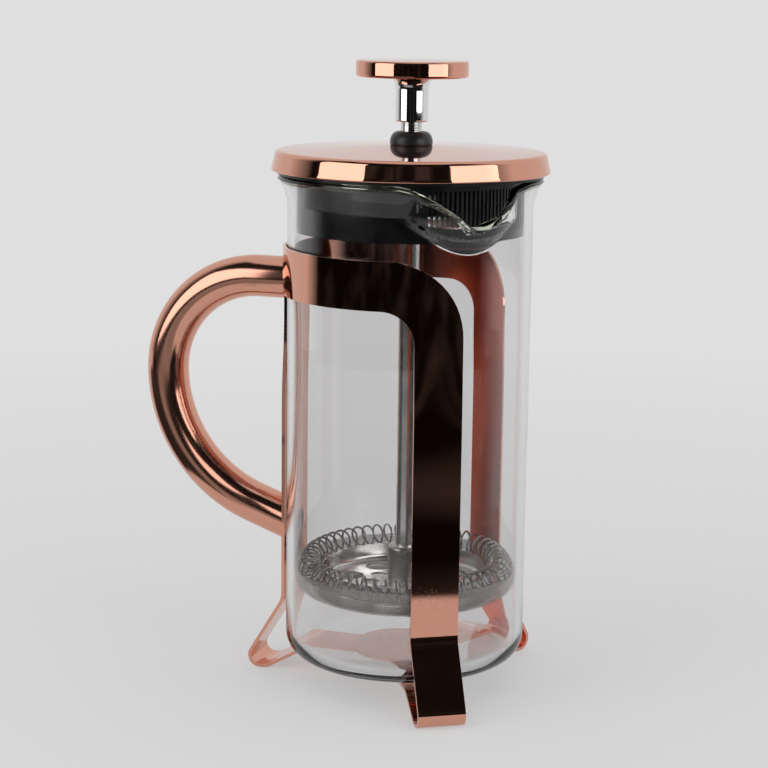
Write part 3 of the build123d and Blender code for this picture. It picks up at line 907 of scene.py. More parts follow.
@dataclass
class Stand:
    """The sheet stand with its band and three legs, the tube handle, and the disc under the beaker."""

    shop: Workshop
    path: StripPath = field(default_factory=StripPath)
    sheet: float = 1.0
    band_radius: float = 36.8
    strip: float = 14.0
    leg_angle: float = 120.0
    outer_corner: float = 22.0
    inner_corner: float = 9.5
    flattening: float = 24.0
    tube_radius: float = 6.3
    tube_wall: float = 1.0
    handle_top: float = 121.0
    straight_reach: float = 47.0
    upper_bend: float = 30.0
    lower_bend: float = 43.0
    lower_turn: float = 70.0
    lower_reach: float = 15.0
    tube_start: float = 35.0
    tube_sides: int = 56
    upper_steps: int = 44
    lower_steps: int = 40
    bend_cut: float = 0.45
    straight_cut: float = 6.0
    side_cuts: int = 150
    corner_steps: int = 14
    edge_round: float = 0.16

    def build(self) -> None:
        """Make the stand's pieces and dress its CAD nodes."""
        self.build_sheet()
        self.build_handle()
        self.shop.dress("base_plate", Slot.COPPER)
        self.shop.dress("base_rivets", Slot.STEEL)
        for part in ("plug", "screw"):
            for end in ("top", "bottom"):
                self.shop.dress(f"handle_{end}_{part}", Slot.STEEL)

    def half_width(self) -> float:
        """Half of a leg's width, measured round the band."""
        return self.band_radius * math.asin(self.strip / 2 / self.band_radius)

    def flat_pattern(self) -> bmesh.types.BMesh:
        """The sheet as it is stamped, flat: sideways along X, down the strip along -Y.

        Returns:
            The flat mesh, cut finely enough to bend.
        """
        half = self.half_width()
        leg = math.radians(self.leg_angle) * self.band_radius
        foot = -self.path.length
        under = -self.strip
        near = leg - half
        reach = leg + half
        right = [(half, under), (near, under), (near, foot), (reach, foot), (reach, 0)]
        left = [(-x, y) for x, y in reversed(right)]
        mesh = bmesh.new()
        outline = [(-half, foot), (half, foot)] + right + left
        face = mesh.faces.new([mesh.verts.new((x, y, 0)) for x, y in outline])
        self.round_corners(mesh, [corner for corner in face.verts if corner.co.y == 0], self.outer_corner)
        inner = [corner for corner in mesh.verts if corner.co.y == under and abs(corner.co.x) > leg / 2]
        self.round_corners(mesh, inner, self.inner_corner)
        for distance in self.path.cuts(self.bend_cut, self.straight_cut):
            self.cut(mesh, (0, -distance, 0), (0, 1, 0))
        for quarter in (1, 2, 3):
            self.cut(mesh, (0, -self.strip * quarter / 4, 0), (0, 1, 0))
        for step in range(1, self.side_cuts):
            self.cut(mesh, (reach * (2 * step / self.side_cuts - 1), 0, 0), (1, 0, 0))
        return mesh

    def round_corners(self, mesh: bmesh.types.BMesh, corners: list, radius: float) -> None:
        """Round square corners of a flat face.

        Args:
            mesh: the face's mesh.
            corners: the corner vertices.
            radius: radius of the rounding.
        """
        bmesh.ops.bevel(
            mesh,
            geom=corners,
            affect="VERTICES",
            offset=radius,
            offset_type="OFFSET",
            segments=self.corner_steps,
            profile=0.5,
            material=-1,
            clamp_overlap=False,
        )

    @staticmethod
    def cut(mesh: bmesh.types.BMesh, point: tuple, normal: tuple) -> None:
        """Cut every face along a plane."""
        geometry = mesh.verts[:] + mesh.edges[:] + mesh.faces[:]
        bmesh.ops.bisect_plane(mesh, geom=geometry, dist=FIT_GAP, plane_co=point, plane_no=normal)

    def build_sheet(self) -> None:
        """Roll and bend the flat pattern into the stand."""
        mesh = self.flat_pattern()
        leg = math.radians(self.leg_angle)
        for vertex in mesh.verts:
            angle = vertex.co.x / self.band_radius
            centre = min((-leg, 0.0, leg), key=lambda where: abs(angle - where))
            radius, height = self.path.at(-vertex.co.y)
            sideways = self.band_radius * math.sin(angle - centre)
            outward = math.sqrt(max(radius**2 - sideways**2, 0.0))
            outward += self.flatness(-vertex.co.y) * (radius - outward)
            turn = centre + math.radians(HANDLE_ANGLE)
            vertex.co = (
                outward * math.cos(turn) - sideways * math.sin(turn),
                outward * math.sin(turn) + sideways * math.cos(turn),
                height,
            )
        made = self.shop.piece("stand_sheet", mesh, Slot.COPPER, Body.STAND, ("stand_frame",), sharp=60.0)
        solid = made.modifiers.new("sheet_thickness", "SOLIDIFY")
        solid.thickness = self.sheet * MM
        solid.offset = 0.0
        solid.use_even_offset = True
        self.shop.soften(made, self.edge_round)

    def flatness(self, distance: float) -> float:
        """How flat the strip is across its width: 0 on the band, 1 on the leg and the foot.

        Args:
            distance: millimetres from the band's top.

        Returns:
            The share.
        """
        share = (distance - self.strip - self.inner_corner) / self.flattening
        share = min(max(share, 0.0), 1.0)
        return share * share * (3 - 2 * share)

    def build_handle(self) -> None:
        """Bend the handle's tube and cut its ends to the band and the rear leg."""
        mesh = bmesh.new()
        place = Matrix.Translation((-self.tube_start, 0, self.handle_top))
        end = place @ Matrix.Rotation(math.pi / 2, 4, "Y")
        bmesh.ops.create_circle(mesh, segments=self.tube_sides, radius=self.tube_radius, matrix=end)
        edges = self.push(mesh, mesh.edges[:], Vector((self.tube_start - self.straight_reach, 0, 0)))
        middle = self.handle_top - self.upper_bend
        outer = self.straight_reach + self.upper_bend
        upper = (-self.straight_reach, 0, middle)
        lower = (self.lower_bend - outer, 0, middle)
        edges = self.bend(mesh, edges, upper, 90.0, self.upper_steps)
        edges = self.bend(mesh, edges, lower, self.lower_turn, self.lower_steps)
        slope = math.radians(self.lower_turn)
        self.push(mesh, edges, Vector((math.sin(slope), 0, -math.cos(slope))) * self.lower_reach)
        seat = self.band_radius + self.sheet / 2
        for vertex in mesh.verts:
            if vertex.is_boundary:
                self.slide_to_seat(vertex, seat, slope)
        made = self.shop.piece("handle_bow", mesh, Slot.COPPER, Body.STAND, ("handle_tube",), sharp=40.0)
        made.data.materials[0] = self.shop.finishes.buffed_copper
        wall = made.modifiers.new("tube_wall", "SOLIDIFY")
        wall.thickness = self.tube_wall * MM
        wall.offset = -1.0
        self.shop.true_up(made)

    def slide_to_seat(self, vertex: bmesh.types.BMVert, seat: float, slope: float) -> None:
        """Slide a vertex of an end ring along the tube onto the cylinder it is cut to.

        Args:
            vertex: the vertex.
            seat: the cylinder's radius.
            slope: the lower end's angle from straight down, in radians.
        """
        target = -math.sqrt(seat**2 - vertex.co.y**2)
        upper = vertex.co.z > self.handle_top - self.upper_bend
        fall = 0.0 if upper else -math.cos(slope) / math.sin(slope)
        vertex.co.z += (target - vertex.co.x) * fall
        vertex.co.x = target

    @staticmethod
    def push(mesh: bmesh.types.BMesh, edges: list, move: Vector) -> list:
        """Extrude a ring straight on.

        Args:
            mesh: the ring's mesh.
            edges: the ring's edges.
            move: how far and which way.

        Returns:
            The new ring's edges.
        """
        grown = bmesh.ops.extrude_edge_only(mesh, edges=edges)["geom"]
        corners = [part for part in grown if isinstance(part, bmesh.types.BMVert)]
        bmesh.ops.translate(mesh, vec=move, verts=corners)
        new = [part for part in grown if isinstance(part, bmesh.types.BMEdge)]
        return [edge for edge in new if all(vertex in corners for vertex in edge.verts)]

    @staticmethod
    def bend(mesh: bmesh.types.BMesh, edges: list, centre: tuple, degrees: float, steps: int) -> list:
        """Spin a ring, turning down from the band.

        Args:
            mesh: the ring's mesh.
            edges: the ring's edges.
            centre: the point it turns about.
            degrees: how far it turns.
            steps: how many steps the turn has.

        Returns:
            The last ring's edges.
        """
        corners = list({vertex for edge in edges for vertex in edge.verts})
        spun = spin_about(mesh, edges + corners, degrees, steps, centre, (0, -1, 0))
        return [part for part in spun["geom_last"] if isinstance(part, bmesh.types.BMEdge)]


@dataclass
class Beaker:
    """The glass: a tumbler with a flared, fire-polished mouth and a drawn spout."""

    shop: Workshop
    radius: float = 36.0
    wall: float = 2.1
    base: float = 8.2
    floor: float = 3.0
    corner: float = 7.0
    inner_corner: float = 5.0
    flare_start: float = 143.0
    flare_radius: float = 16.5
    rim: float = 153.3
    pull_start: float = 124.0
    spout_foot: float = 133.5
    spout_full: float = 143.5
    spout_foot_radius: float = 11.5
    spout_top_radius: float = 19.0
    spout_centre: float = 24.0
    spout_tip: float = 141.2
    spout_half_width: float = 14.5
    tip_round: float = 1.8
    shoulder_round: float = 7.0
    tip_sink: float = 0.6
    spout_sector: float = 1.2
    lip: float = 1.4
    bead: float = 0.3
    bead_rise: float = 0.12
    inner_lag: float = 6.0
    blend: float = 0.15
    flare_limit: float = 0.95
    floor_ring: float = 12.0
    wall_steps: int = 10
    pull_steps: int = 22
    flare_steps: int = 9
    round_steps: int = 216

    def build(self) -> None:
        """Blow the beaker and pull its spout."""
        mesh = self.tumbler()
        self.mark_lip(mesh)
        self.pull_spout(mesh)
        self.shop.piece("beaker_glass", mesh, Slot.GLASS, Body.BEAKER, ("glass_beaker",), sharp=60.0)

    def tumbler(self) -> bmesh.types.BMesh:
        """Turn the beaker as it is before its spout is pulled.

        Returns:
            The round mesh.
        """
        centre = self.radius + self.flare_radius
        rise = self.shoulder() - self.flare_start
        outer_turn = math.degrees(math.asin(rise / self.flare_radius))
        inner_turn = math.degrees(math.asin(rise / (self.flare_radius + self.wall)))
        bore = self.radius - self.wall
        lower = self.base + self.floor
        pen = Pen(0, self.base)
        pen.line(self.floor_ring, self.base).line(self.radius - self.corner, self.base, 2)
        pen.arc(self.radius - self.corner, self.base + self.corner, 90, 10)
        pen.line(self.radius, self.pull_start, self.wall_steps)
        pen.line(self.radius, self.flare_start, self.pull_steps)
        pen.arc(centre, self.flare_start, -outer_turn, self.flare_steps)
        mouth = self.mouth(self.wall)
        middle = (pen.tip.co.x + mouth) / 2
        lip = (pen.tip.co.x - mouth) / 2
        pen.line(middle + lip + self.bead, self.shoulder() + self.bead_rise)
        pen.arc(middle, self.shoulder() + self.bead_rise, 180, 10)
        pen.line(middle - lip, self.shoulder())
        pen.arc(centre, self.flare_start, inner_turn, self.flare_steps)
        pen.line(bore, self.pull_start, self.pull_steps)
        pen.line(bore, lower + self.inner_corner, self.wall_steps)
        pen.arc(bore - self.inner_corner, lower + self.inner_corner, -90, 8)
        pen.line(self.floor_ring, lower, 2).line(0, lower)
        return pen.turn(self.round_steps)

    def shoulder(self) -> float:
        """Height at which the round of the lip begins."""
        return self.rim - self.lip

    def mouth(self, inset: float) -> float:
        """Radius under the lip of the wall's face that lies inset from the outside."""
        return self.wall_radius(self.shoulder(), inset)

    def wall_radius(self, height: float, inset: float) -> float:
        """Radius of the round wall.

        Args:
            height: where on the wall.
            inset: 0 for the outer face, the wall's thickness for the inner one.

        Returns:
            The radius.
        """
        if height <= self.flare_start:
            return self.radius - inset
        radius = self.flare_radius + inset
        rise = min(height - self.flare_start, self.flare_limit * radius)
        return self.radius + self.flare_radius - math.sqrt(radius**2 - rise**2)

    def spout_radius(self, angle: float, height: float, inset: float) -> float:
        """Radius of the wall with the spout blended in.

        Args:
            angle: angle from the spout's middle, in radians.
            height: where on the wall.
            inset: 0 for the outer face, the wall's thickness for the inner one.

        Returns:
            The radius.
        """
        wall = self.wall_radius(height, inset)
        foot = self.spout_foot + self.inner_lag * inset / self.wall
        share = (height - foot) / (self.spout_full - foot)
        share = min(max(share, -1.0), 1.0)
        swell = self.spout_foot_radius + share * (self.spout_top_radius - self.spout_foot_radius) - inset
        across = self.spout_centre * math.sin(angle)
        if swell <= abs(across):
            return wall
        reach = self.spout_centre * math.cos(angle) + math.sqrt(swell**2 - across**2)
        near = max(self.blend - abs(reach - wall), 0.0) / self.blend
        return max(reach, wall) + near * near * self.blend / 4

    def rim_height(self, angle: float) -> float:
        """Height of the rim, lowered in a soft V at the spout.

        Args:
            angle: angle from the spout's middle, in radians.

        Returns:
            The height.
        """
        across = self.radius * abs(angle)
        slope = (self.rim - self.spout_tip) / self.spout_half_width
        rounded = math.hypot(across, self.tip_round) - self.tip_round * self.tip_sink
        valley = self.spout_tip + slope * rounded
        near = max(self.shoulder_round - abs(valley - self.rim), 0.0) / self.shoulder_round
        return min(valley, self.rim) - near * near * self.shoulder_round / 4

    def mark_lip(self, mesh: bmesh.types.BMesh) -> None:
        """Mark the fire-polished lip, whose thick glass shows its colour, in a vertex attribute.

        Args:
            mesh: the round beaker.
        """
        layer = mesh.verts.layers.float.new("lip")
        for vertex in mesh.verts:
            rise = (vertex.co.z - self.shoulder()) / self.lip
            vertex[layer] = min(max(1.0 + rise, 0.0), 1.0)

    def pull_spout(self, mesh: bmesh.types.BMesh) -> None:
        """Move the wall's vertices out and down into the spout.

        Args:
            mesh: the round beaker.
        """
        middle = math.radians(SPOUT_ANGLE)
        for vertex in mesh.verts:
            if vertex.co.z <= self.pull_start:
                continue
            turn = math.atan2(vertex.co.y, vertex.co.x)
            angle = (turn - middle + math.pi) % FULL_TURN - math.pi
            if abs(angle) > self.spout_sector:
                continue
            radius = math.hypot(vertex.co.x, vertex.co.y)
            level = min(vertex.co.z, self.shoulder())
            outside = self.wall_radius(level, 0.0)
            inside = self.wall_radius(level, self.wall)
            depth = (outside - radius) / (outside - inside)
            share = (level - self.pull_start) / (self.shoulder() - self.pull_start)
            height = self.pull_start + share * (self.rim_height(angle) - self.lip - self.pull_start)
            outer = self.spout_radius(angle, height, 0.0)
            inner = self.spout_radius(angle, height, self.wall)
            radius = outer + (inner - outer) * depth
            height += vertex.co.z - level
            vertex.co = (radius * math.cos(turn), radius * math.sin(turn), height)


@dataclass
class Lid:
    """The domed cover, the strainer insert under it, and the ball that guides the rod."""

    shop: Workshop
    skin: float = 0.8
    radius: float = 39.9
    skirt_radius: float = 40.8
    bottom: float = 154.4
    edge: float = 160.3
    edge_round: float = 1.6
    apex: float = 162.0
    hole: float = 5.0
    rod_hole: float = 3.08
    ball_radius: float = 6.25
    ball_top: float = 165.9
    ball_waist: float = 162.8
    ball_flat: float = 3.9
    seat_radius: float = 6.1
    stem_bottom: float = 145.6
    bore_edge: float = 0.25

    def build(self) -> None:
        """Make the lid's pieces and dress its CAD nodes."""
        self.build_cover()
        self.build_ball()
        self.shop.dress("lid_insert", Slot.GLOSS)
        self.shop.dress("guide_nut", Slot.STEEL)

    def build_cover(self) -> None:
        """Spin the plated cover."""
        lean = math.degrees(math.atan2(self.skirt_radius - self.radius, self.edge - self.bottom))
        bend = self.edge_round
        hem = self.skin / 2
        inside = self.skirt_radius - self.skin
        pen = Pen(self.hole, self.apex)
        pen.line(self.radius - bend, self.edge, 12)
        pen.arc(self.radius - bend, self.edge - bend, lean - 90, 9)
        pen.line(self.skirt_radius, self.bottom + hem, 5)
        pen.arc(self.skirt_radius - hem, self.bottom + hem, -180, 6)
        pen.line(inside, self.bottom + hem)
        pen.line(self.radius - self.skin, self.edge - bend, 4)
        pen.arc(self.radius - bend, self.edge - bend, 90, 6)
        pen.line(self.hole, self.apex - self.skin, 8).close()
        mesh = pen.turn(192)
        made = self.shop.piece("lid_dome", mesh, Slot.COPPER, Body.LID, ("lid_cover",))
        self.shop.true_up(made)

    def build_ball(self) -> None:
        """Spin the rod guide."""
        pen = Pen(self.rod_hole, self.stem_bottom)
        pen.line(self.hole - FIT_GAP, self.stem_bottom).line(self.hole - FIT_GAP, self.apex)
        pen.line(self.seat_radius, self.apex + FIT_GAP)
        low = self.ball_waist - self.apex
        high = self.ball_top - self.ball_waist
        for share in shares(6):
            bulge = math.sin(share * math.pi / 2)
            width = self.seat_radius + (self.ball_radius - self.seat_radius) * bulge
            pen.line(width, self.apex + low * share)
        for share in shares(10):
            turn = share * math.pi / 2
            width = self.ball_flat + (self.ball_radius - self.ball_flat) * math.cos(turn)
            pen.line(width, self.ball_waist + high * math.sin(turn))
        pen.line(self.rod_hole + self.bore_edge, self.ball_top)
        pen.line(self.rod_hole, self.ball_top - self.bore_edge).close()
        self.shop.piece("guide_knuckle", pen.turn(96), Slot.SATIN, Body.LID, ("guide_ball",))


@dataclass
class Plunger:
    """The knob, its bright neck, and the rod."""

    shop: Workshop
    knob_radius: float = 16.4
    knob_bottom: float = 181.5
    knob_top: float = 186.6
    knob_edge: float = 0.8
    crown: float = 0.3
    crown_turn: float = 88.0
    neck_radius: float = 4.8
    neck_top_radius: float = 6.0
    neck_flare: float = 177.6
    neck_bottom: float = 168.7
    neck_edge: float = 0.5
    flare_power: float = 2.4
    rod_radius: float = 3.0
    rod_bottom: float = 23.6
    rod_top: float = 177.5
    rod_edge: float = 0.4
    stud_radius: float = 3.0
    stud_length: float = 3.2

    def build(self) -> None:
        """Make the plunger's pieces."""
        self.build_knob()
        self.build_neck()
        self.build_rod()

    def build_knob(self) -> None:
        """Spin the knob: a disc with rounded edges and a slight crown."""
        bend = self.knob_edge
        stud_top = self.knob_bottom + self.stud_length
        shoulder = self.knob_top - self.crown
        pen = Pen(self.stud_radius, stud_top)
        pen.line(self.stud_radius, self.knob_bottom, 2).line(self.knob_radius - bend, self.knob_bottom, 4)
        pen.arc(self.knob_radius - bend, self.knob_bottom + bend, 90, 7)
        pen.line(self.knob_radius, shoulder - bend, 2)
        pen.arc(self.knob_radius - bend, shoulder - bend, self.crown_turn, 7)
        rim_radius = pen.tip.co.x
        rim_height = pen.tip.co.z
        for share in shares(8):
            left = 1 - share
            pen.line(rim_radius * left, rim_height + (self.knob_top - rim_height) * (1 - left**2))
        pen.line(0, stud_top).close()
        made = self.shop.piece("knob_cap", pen.turn(160), Slot.COPPER, Body.PLUNGER, ("knob_disc",))
        self.shop.true_up(made)

    def build_neck(self) -> None:
        """Spin the neck, flared where it meets the knob."""
        rise = self.knob_bottom - self.neck_flare
        bend = self.neck_edge
        stud_top = self.knob_bottom + self.stud_length - FIT_GAP
        pen = Pen(self.rod_radius, self.rod_top)
        pen.line(self.rod_radius, self.neck_bottom, 2).line(self.neck_radius - bend, self.neck_bottom)
        pen.arc(self.neck_radius - bend, self.neck_bottom + bend, 90, 4)
        pen.line(self.neck_radius, self.neck_flare, 3)
        for share in shares(8):
            flare = (self.neck_top_radius - self.neck_radius) * share**self.flare_power
            pen.line(self.neck_radius + flare, self.neck_flare + rise * share)
        pen.line(self.stud_radius, self.knob_bottom).line(self.stud_radius, stud_top)
        pen.line(0, stud_top).line(0, self.rod_top).close()
        made = self.shop.piece("knob_stem", pen.turn(96), Slot.CHROME, Body.PLUNGER, ("knob_neck",))
        self.shop.true_up(made)

    def build_rod(self) -> None:
        """Spin the rod, with its ends broken."""
        top = self.rod_top - FIT_GAP
        pen = Pen(0, self.rod_bottom)
        pen.line(self.rod_radius - self.rod_edge, self.rod_bottom)
        pen.line(self.rod_radius, self.rod_bottom + self.rod_edge)
        pen.line(self.rod_radius, top, 24).line(0, top)
        self.shop.piece("rod_bar", pen.turn(64), Slot.FILTER, Body.PLUNGER, ("plunger_rod",), sharp=40.0)


@dataclass
class Filter:
    """The filter stack: hub, perforated plate, coil, woven screen and the plate and nut below."""

    shop: Workshop
    hub_radius: float = 5.3
    hub_bottom: float = 30.4
    hub_top: float = 41.8
    hub_edge: float = 0.9
    bore: float = 3.01
    screen_radius: float = 33.5
    screen_bottom: float = 27.8
    screen_top: float = 36.2
    screen: float = 0.4
    screen_corner: float = 6.5
    coil_count: int = 54
    coil_steps: int = 14
    coil_radius: float = 3.25
    coil_growth: float = 1.03
    coil_ring: float = 29.05
    coil_height: float = 36.475
    coil_wire: float = 0.34
    coil_start: float = 4.0
    coil_lean: float = 1.5
    coil_droop: float = 0.575
    coil_shift: float = 0.25

    def build(self) -> None:
        """Make the filter's pieces and dress its CAD nodes."""
        self.build_hub()
        self.build_screen()
        self.build_coil()
        for node in ("spring_plate", "filter_spacer", "cross_plate"):
            self.shop.dress(node, Slot.FILTER)
        self.shop.dress("filter_nut", Slot.STEEL)

    def build_hub(self) -> None:
        """Spin the hub."""
        bend = self.hub_edge
        pen = Pen(self.bore, self.hub_bottom)
        pen.line(self.hub_radius, self.hub_bottom).line(self.hub_radius, self.hub_top - bend, 4)
        pen.arc(self.hub_radius - bend, self.hub_top - bend, 90, 6)
        pen.line(self.bore, self.hub_top).close()
        made = self.shop.piece("filter_boss", pen.turn(80), Slot.CHROME, Body.PLUNGER, ("filter_hub",))
        made.data.materials[0] = self.shop.finishes.turned_hub
        self.shop.true_up(made)

    def build_screen(self) -> None:
        """Spin the woven dish and lay the weave's coordinates on it."""
        outer = self.screen_radius
        inner = outer - self.screen
        floor = self.screen_bottom + self.screen
        bend = self.screen_corner
        pen = Pen(self.bore, self.screen_bottom)
        pen.line(outer - bend, self.screen_bottom, 8)
        pen.arc(outer - bend, self.screen_bottom + bend, 90, 8)
        pen.line(outer, self.screen_top, 5).line(inner, self.screen_top)
        pen.line(inner, self.screen_bottom + bend, 5)
        pen.arc(outer - bend, self.screen_bottom + bend, -90, 8)
        pen.line(self.bore, floor, 8).close()
        mesh = pen.turn(144)
        layer = mesh.loops.layers.uv.new("weave")
        for face in mesh.faces:
            middle = face.calc_center_median()
            upright = math.hypot(middle.x, middle.y) > outer - bend
            for loop in face.loops:
                loop[layer].uv = self.weave_place(loop.vert.co, middle, upright)
        self.shop.piece("filter_screen", mesh, Slot.MESH, Body.PLUNGER, ("mesh_screen",))

    def weave_place(self, point: Vector, middle: Vector, upright: bool) -> tuple[float, float]:
        """Where a corner of a face lies on the flat weave, in millimetres.

        Args:
            point: the corner.
            middle: the face's middle.
            upright: whether the face is on the dish's wall.

        Returns:
            The place.
        """
        if not upright:
            return point.x, point.y
        around = math.atan2(middle.y, middle.x)
        off = (math.atan2(point.y, point.x) - around + math.pi) % FULL_TURN - math.pi
        return (around + off) * self.screen_radius, point.z

    def build_coil(self) -> None:
        """Wind the coil round the ring."""
        curve = bpy.data.curves.new("coil_line", "CURVE")
        curve.dimensions = "3D"
        curve.bevel_depth = self.coil_wire * MM
        curve.bevel_resolution = 2
        curve.use_fill_caps = True
        curve.resolution_u = 2
        spline = curve.splines.new("NURBS")
        total = self.coil_count * self.coil_steps
        spline.points.add(total)
        grown = self.coil_radius * self.coil_growth
        for step, point in enumerate(spline.points):
            share = step / total
            ring = math.radians(self.coil_start + (360 - self.coil_start) * share)
            loop = FULL_TURN * self.coil_count * share
            front = math.cos(ring - math.radians(CAMERA_ANGLE))
            radius = self.coil_ring + self.coil_shift * front + grown * math.cos(loop)
            height = self.coil_height - self.coil_droop * front + grown * math.sin(loop)
            ring += self.coil_lean * math.cos(loop) / self.coil_ring
            point.co = (radius * math.cos(ring) * MM, radius * math.sin(ring) * MM, height * MM, 1)
        spline.order_u = 4
        spline.use_endpoint_u = True
        holder = put_in_scene("coil_line", curve)
        data = bpy.data.meshes.new_from_object(holder)
        bpy.data.objects.remove(holder)
        bpy.data.curves.remove(curve)
        data.name = "filter_coil"
        made = self.shop.place("filter_coil", data, Slot.FILTER, Body.PLUNGER, ("coil_spring",), sharp=70.0)
        # The coil takes the darker steel, whose colour is painted shade.
        made.data.materials[0] = self.shop.finishes.shaded_spring_wire


@dataclass(frozen=True)
class Cloth:
    """A dark cloth of the studio.

    Args:
        name: its name.
        sides: where it begins and ends, in degrees to the right of the camera.
        profile: radius and height of the line that is swept between them, in metres.
        dark: grey of the painted shade in the hollows of its folds.
        light: grey of the painted light on its folds.
        share: how dense it is.
        feather: degrees over which it thins out at its sides.
        start: distance from the press at which it begins to show.
        slant: how much further off that is towards the right.
        thinning: how much of it is lost to light that has passed through glass.
    """

    name: str
    sides: tuple
    profile: tuple
    dark: float
    light: float
    share: float = 1.0
    feather: float = 10.0
    start: float = 0.0
    slant: float = 0.0
    thinning: float = 0.88


@dataclass(frozen=True)
class Softbox:
    """A soft light that faces the press.

    Args:
        name: its name.
        turn: degrees to the right of the camera.
        distance: metres from the press.
        height: height of its middle in metres.
        size: width and height in metres.
        level: how bright its face is, where 1 is white.
        only_on: the one piece it reaches, or nothing if it reaches all.
    """

    name: str
    turn: float
    distance: float
    height: float
    size: tuple
    level: float
    only_on: str = ""


@dataclass
class Studio:
    """The floor, the soft lights, the dark cards and cloths that the metal mirrors, and the camera."""

    floor_reach: float = 90.0
    floor_fade: tuple = (0.12, 0.6)
    room_grey: float = 0.74
    paper_grey: float = 0.34
    paper_glow: float = 0.38
    lights: tuple = (
        Softbox("softbox_left", -59.0, 0.78, 0.40, (0.6, 0.66), 1.9),
        Softbox("softbox_right", 54.5, 1.1, 0.43, (0.87, 0.66), 1.9),
        Softbox("handle_strip", -12.0, 0.95, 0.42, (0.34, 0.4), 1.5, "handle_bow"),
    )
    cloths: tuple = (
        Cloth("card_low", (-118, 92), ((1.35, 0), (1.35, 0.2)), 0.012, 0.05, feather=30.0, thinning=0.0),
        Cloth("card_high", (-118, 92), ((1.35, 0.2), (1.35, 1.5), (0.75, 1.7)), 0.016, 0.085, feather=30.0),
        Cloth(
            "rug_far", (-104, 84), ((0.56, 0.0016), (1.35, 0.0016)), 0.004, 0.03, feather=16.0, thinning=0.0
        ),
        Cloth(
            "rug_right", (-4, 84), ((0.11, 0.0008), (0.6, 0.0008)), 0.004, 0.055, start=0.142, slant=0.12
        ),
        Cloth("rug_left", (-116, -56), ((0.14, 0.001), (0.6, 0.001)), 0.004, 0.055, 0.96, start=0.142),
        Cloth("rug_ring", (-70, 6), ((0.19, 0.0012), (0.345, 0.0012)), 0.004, 0.055, 0.6, start=0.19),
        Cloth("rug_middle", (-70, 6), ((0.33, 0.0014), (0.6, 0.0014)), 0.004, 0.055, 0.55),
    )
    camera_distance: float = 0.59748
    camera_height: float = 0.20734
    camera_pitch: float = 11.141
    camera_roll: float = 0.865
    camera_lens: float = 95.77
    camera_shift: tuple = (-0.0308, 0.0055)
    camera_sensor: float = 36.0
    camera_clip: tuple = (0.01, 500.0)
    cloth_steps: int = 48
    cloth_edge: float = 0.006
    # Scale and range of the painted light and shade of folds on the flat cloths.
    painted_fold_scale: float = 5.5
    painted_fold_range: tuple = (0.46, 0.72)
    mirrored_twice: float = 1.5
    through_the_wall: float = 3.5

    def build(self) -> None:
        """Set the stage."""
        bpy.context.scene.view_settings.view_transform = "Standard"
        self.build_camera()
        self.build_world()
        self.build_floor()
        self.build_cards()
        for softbox in self.lights:
            self.hang(softbox)

    def direction(self, turn: float) -> Vector:
        """The level direction from the press that lies turn degrees to the right, as the camera sees it."""
        angle = math.radians(CAMERA_ANGLE + turn)
        return Vector((math.cos(angle), math.sin(angle), 0))

    def build_camera(self) -> None:
        """Stand the camera where the photograph was taken from."""
        data = bpy.data.cameras.new("camera")
        data.lens = self.camera_lens
        data.sensor_width = self.camera_sensor
        data.shift_x, data.shift_y = self.camera_shift
        data.clip_start, data.clip_end = self.camera_clip
        camera = put_in_scene("camera", data)
        heading = Matrix.Rotation(math.radians(CAMERA_ANGLE + 90), 4, "Z")
        tilt = Matrix.Rotation(math.radians(90 - self.camera_pitch), 4, "X")
        roll = Matrix.Rotation(math.radians(self.camera_roll), 4, "Z")
        place = self.direction(0) * self.camera_distance + Vector((0, 0, self.camera_height))
        camera.matrix_world = Matrix.Translation(place) @ heading @ tilt @ roll
        bpy.context.scene.camera = camera

    def build_world(self) -> None:
        """Fill the room with an even grey."""
        world = bpy.data.worlds.new("room")
        world.use_nodes = True
        desk = NodeDesk(world.node_tree)
        grey = (self.room_grey, self.room_grey, self.room_grey, 1)
        light = desk.add("Background", {"Color": grey, "Strength": 1.0})
        desk.add("OutputWorld", {"Surface": light.outputs["Background"]})
        bpy.context.scene.world = world

    def build_floor(self) -> None:
        """Lay a pale floor that keeps the shadow near the press and fades into the room further off."""
        mesh = bmesh.new()
        bmesh.ops.create_circle(mesh, cap_ends=True, segments=64, radius=self.floor_reach)
        floor = put_in_scene("floor", mesh_data("floor", mesh))
        material, desk = blank_material("pale_floor")
        place = desk.add("TexCoord").outputs["Object"]
        far = desk.spread(desk.measure("LENGTH", place), *self.floor_fade)
        path = desk.add("LightPath").outputs
        seen = desk.math("MAXIMUM", path["Is Camera Ray"], path["Is Glossy Ray"])
        seen = desk.math("MAXIMUM", seen, path["Is Transmission Ray"])
        grey = (self.paper_grey, self.paper_grey, self.paper_grey, 1)
        paper = desk.add("BsdfDiffuse", {"Color": grey})
        lift = desk.math("MULTIPLY", seen, self.paper_glow)
        glow = desk.add("Emission", {"Color": (1, 1, 1, 1), "Strength": lift})
        near = desk.add("AddShader", {0: paper.outputs[0], 1: glow.outputs[0]})
        room = desk.add("Emission", {"Color": (1, 1, 1, 1), "Strength": self.room_grey})
        share = desk.math("MULTIPLY", far, seen)
        mixed = desk.add("MixShader", {0: share, 1: near.outputs[0], 2: room.outputs[0]})
        desk.add("OutputMaterial", {"Surface": mixed.outputs[0]})
        floor.data.materials.append(material)

    def build_cards(self) -> None:
        """Hang dark cards round the camera and lay dark cloths by the press, for mirrors alone."""
        for cloth in self.cloths:
            made = self.swept(cloth)
            made.data.materials.append(self.dark_cloth(cloth))
            made.visible_camera = False
            made.visible_diffuse = False
            made.visible_shadow = False

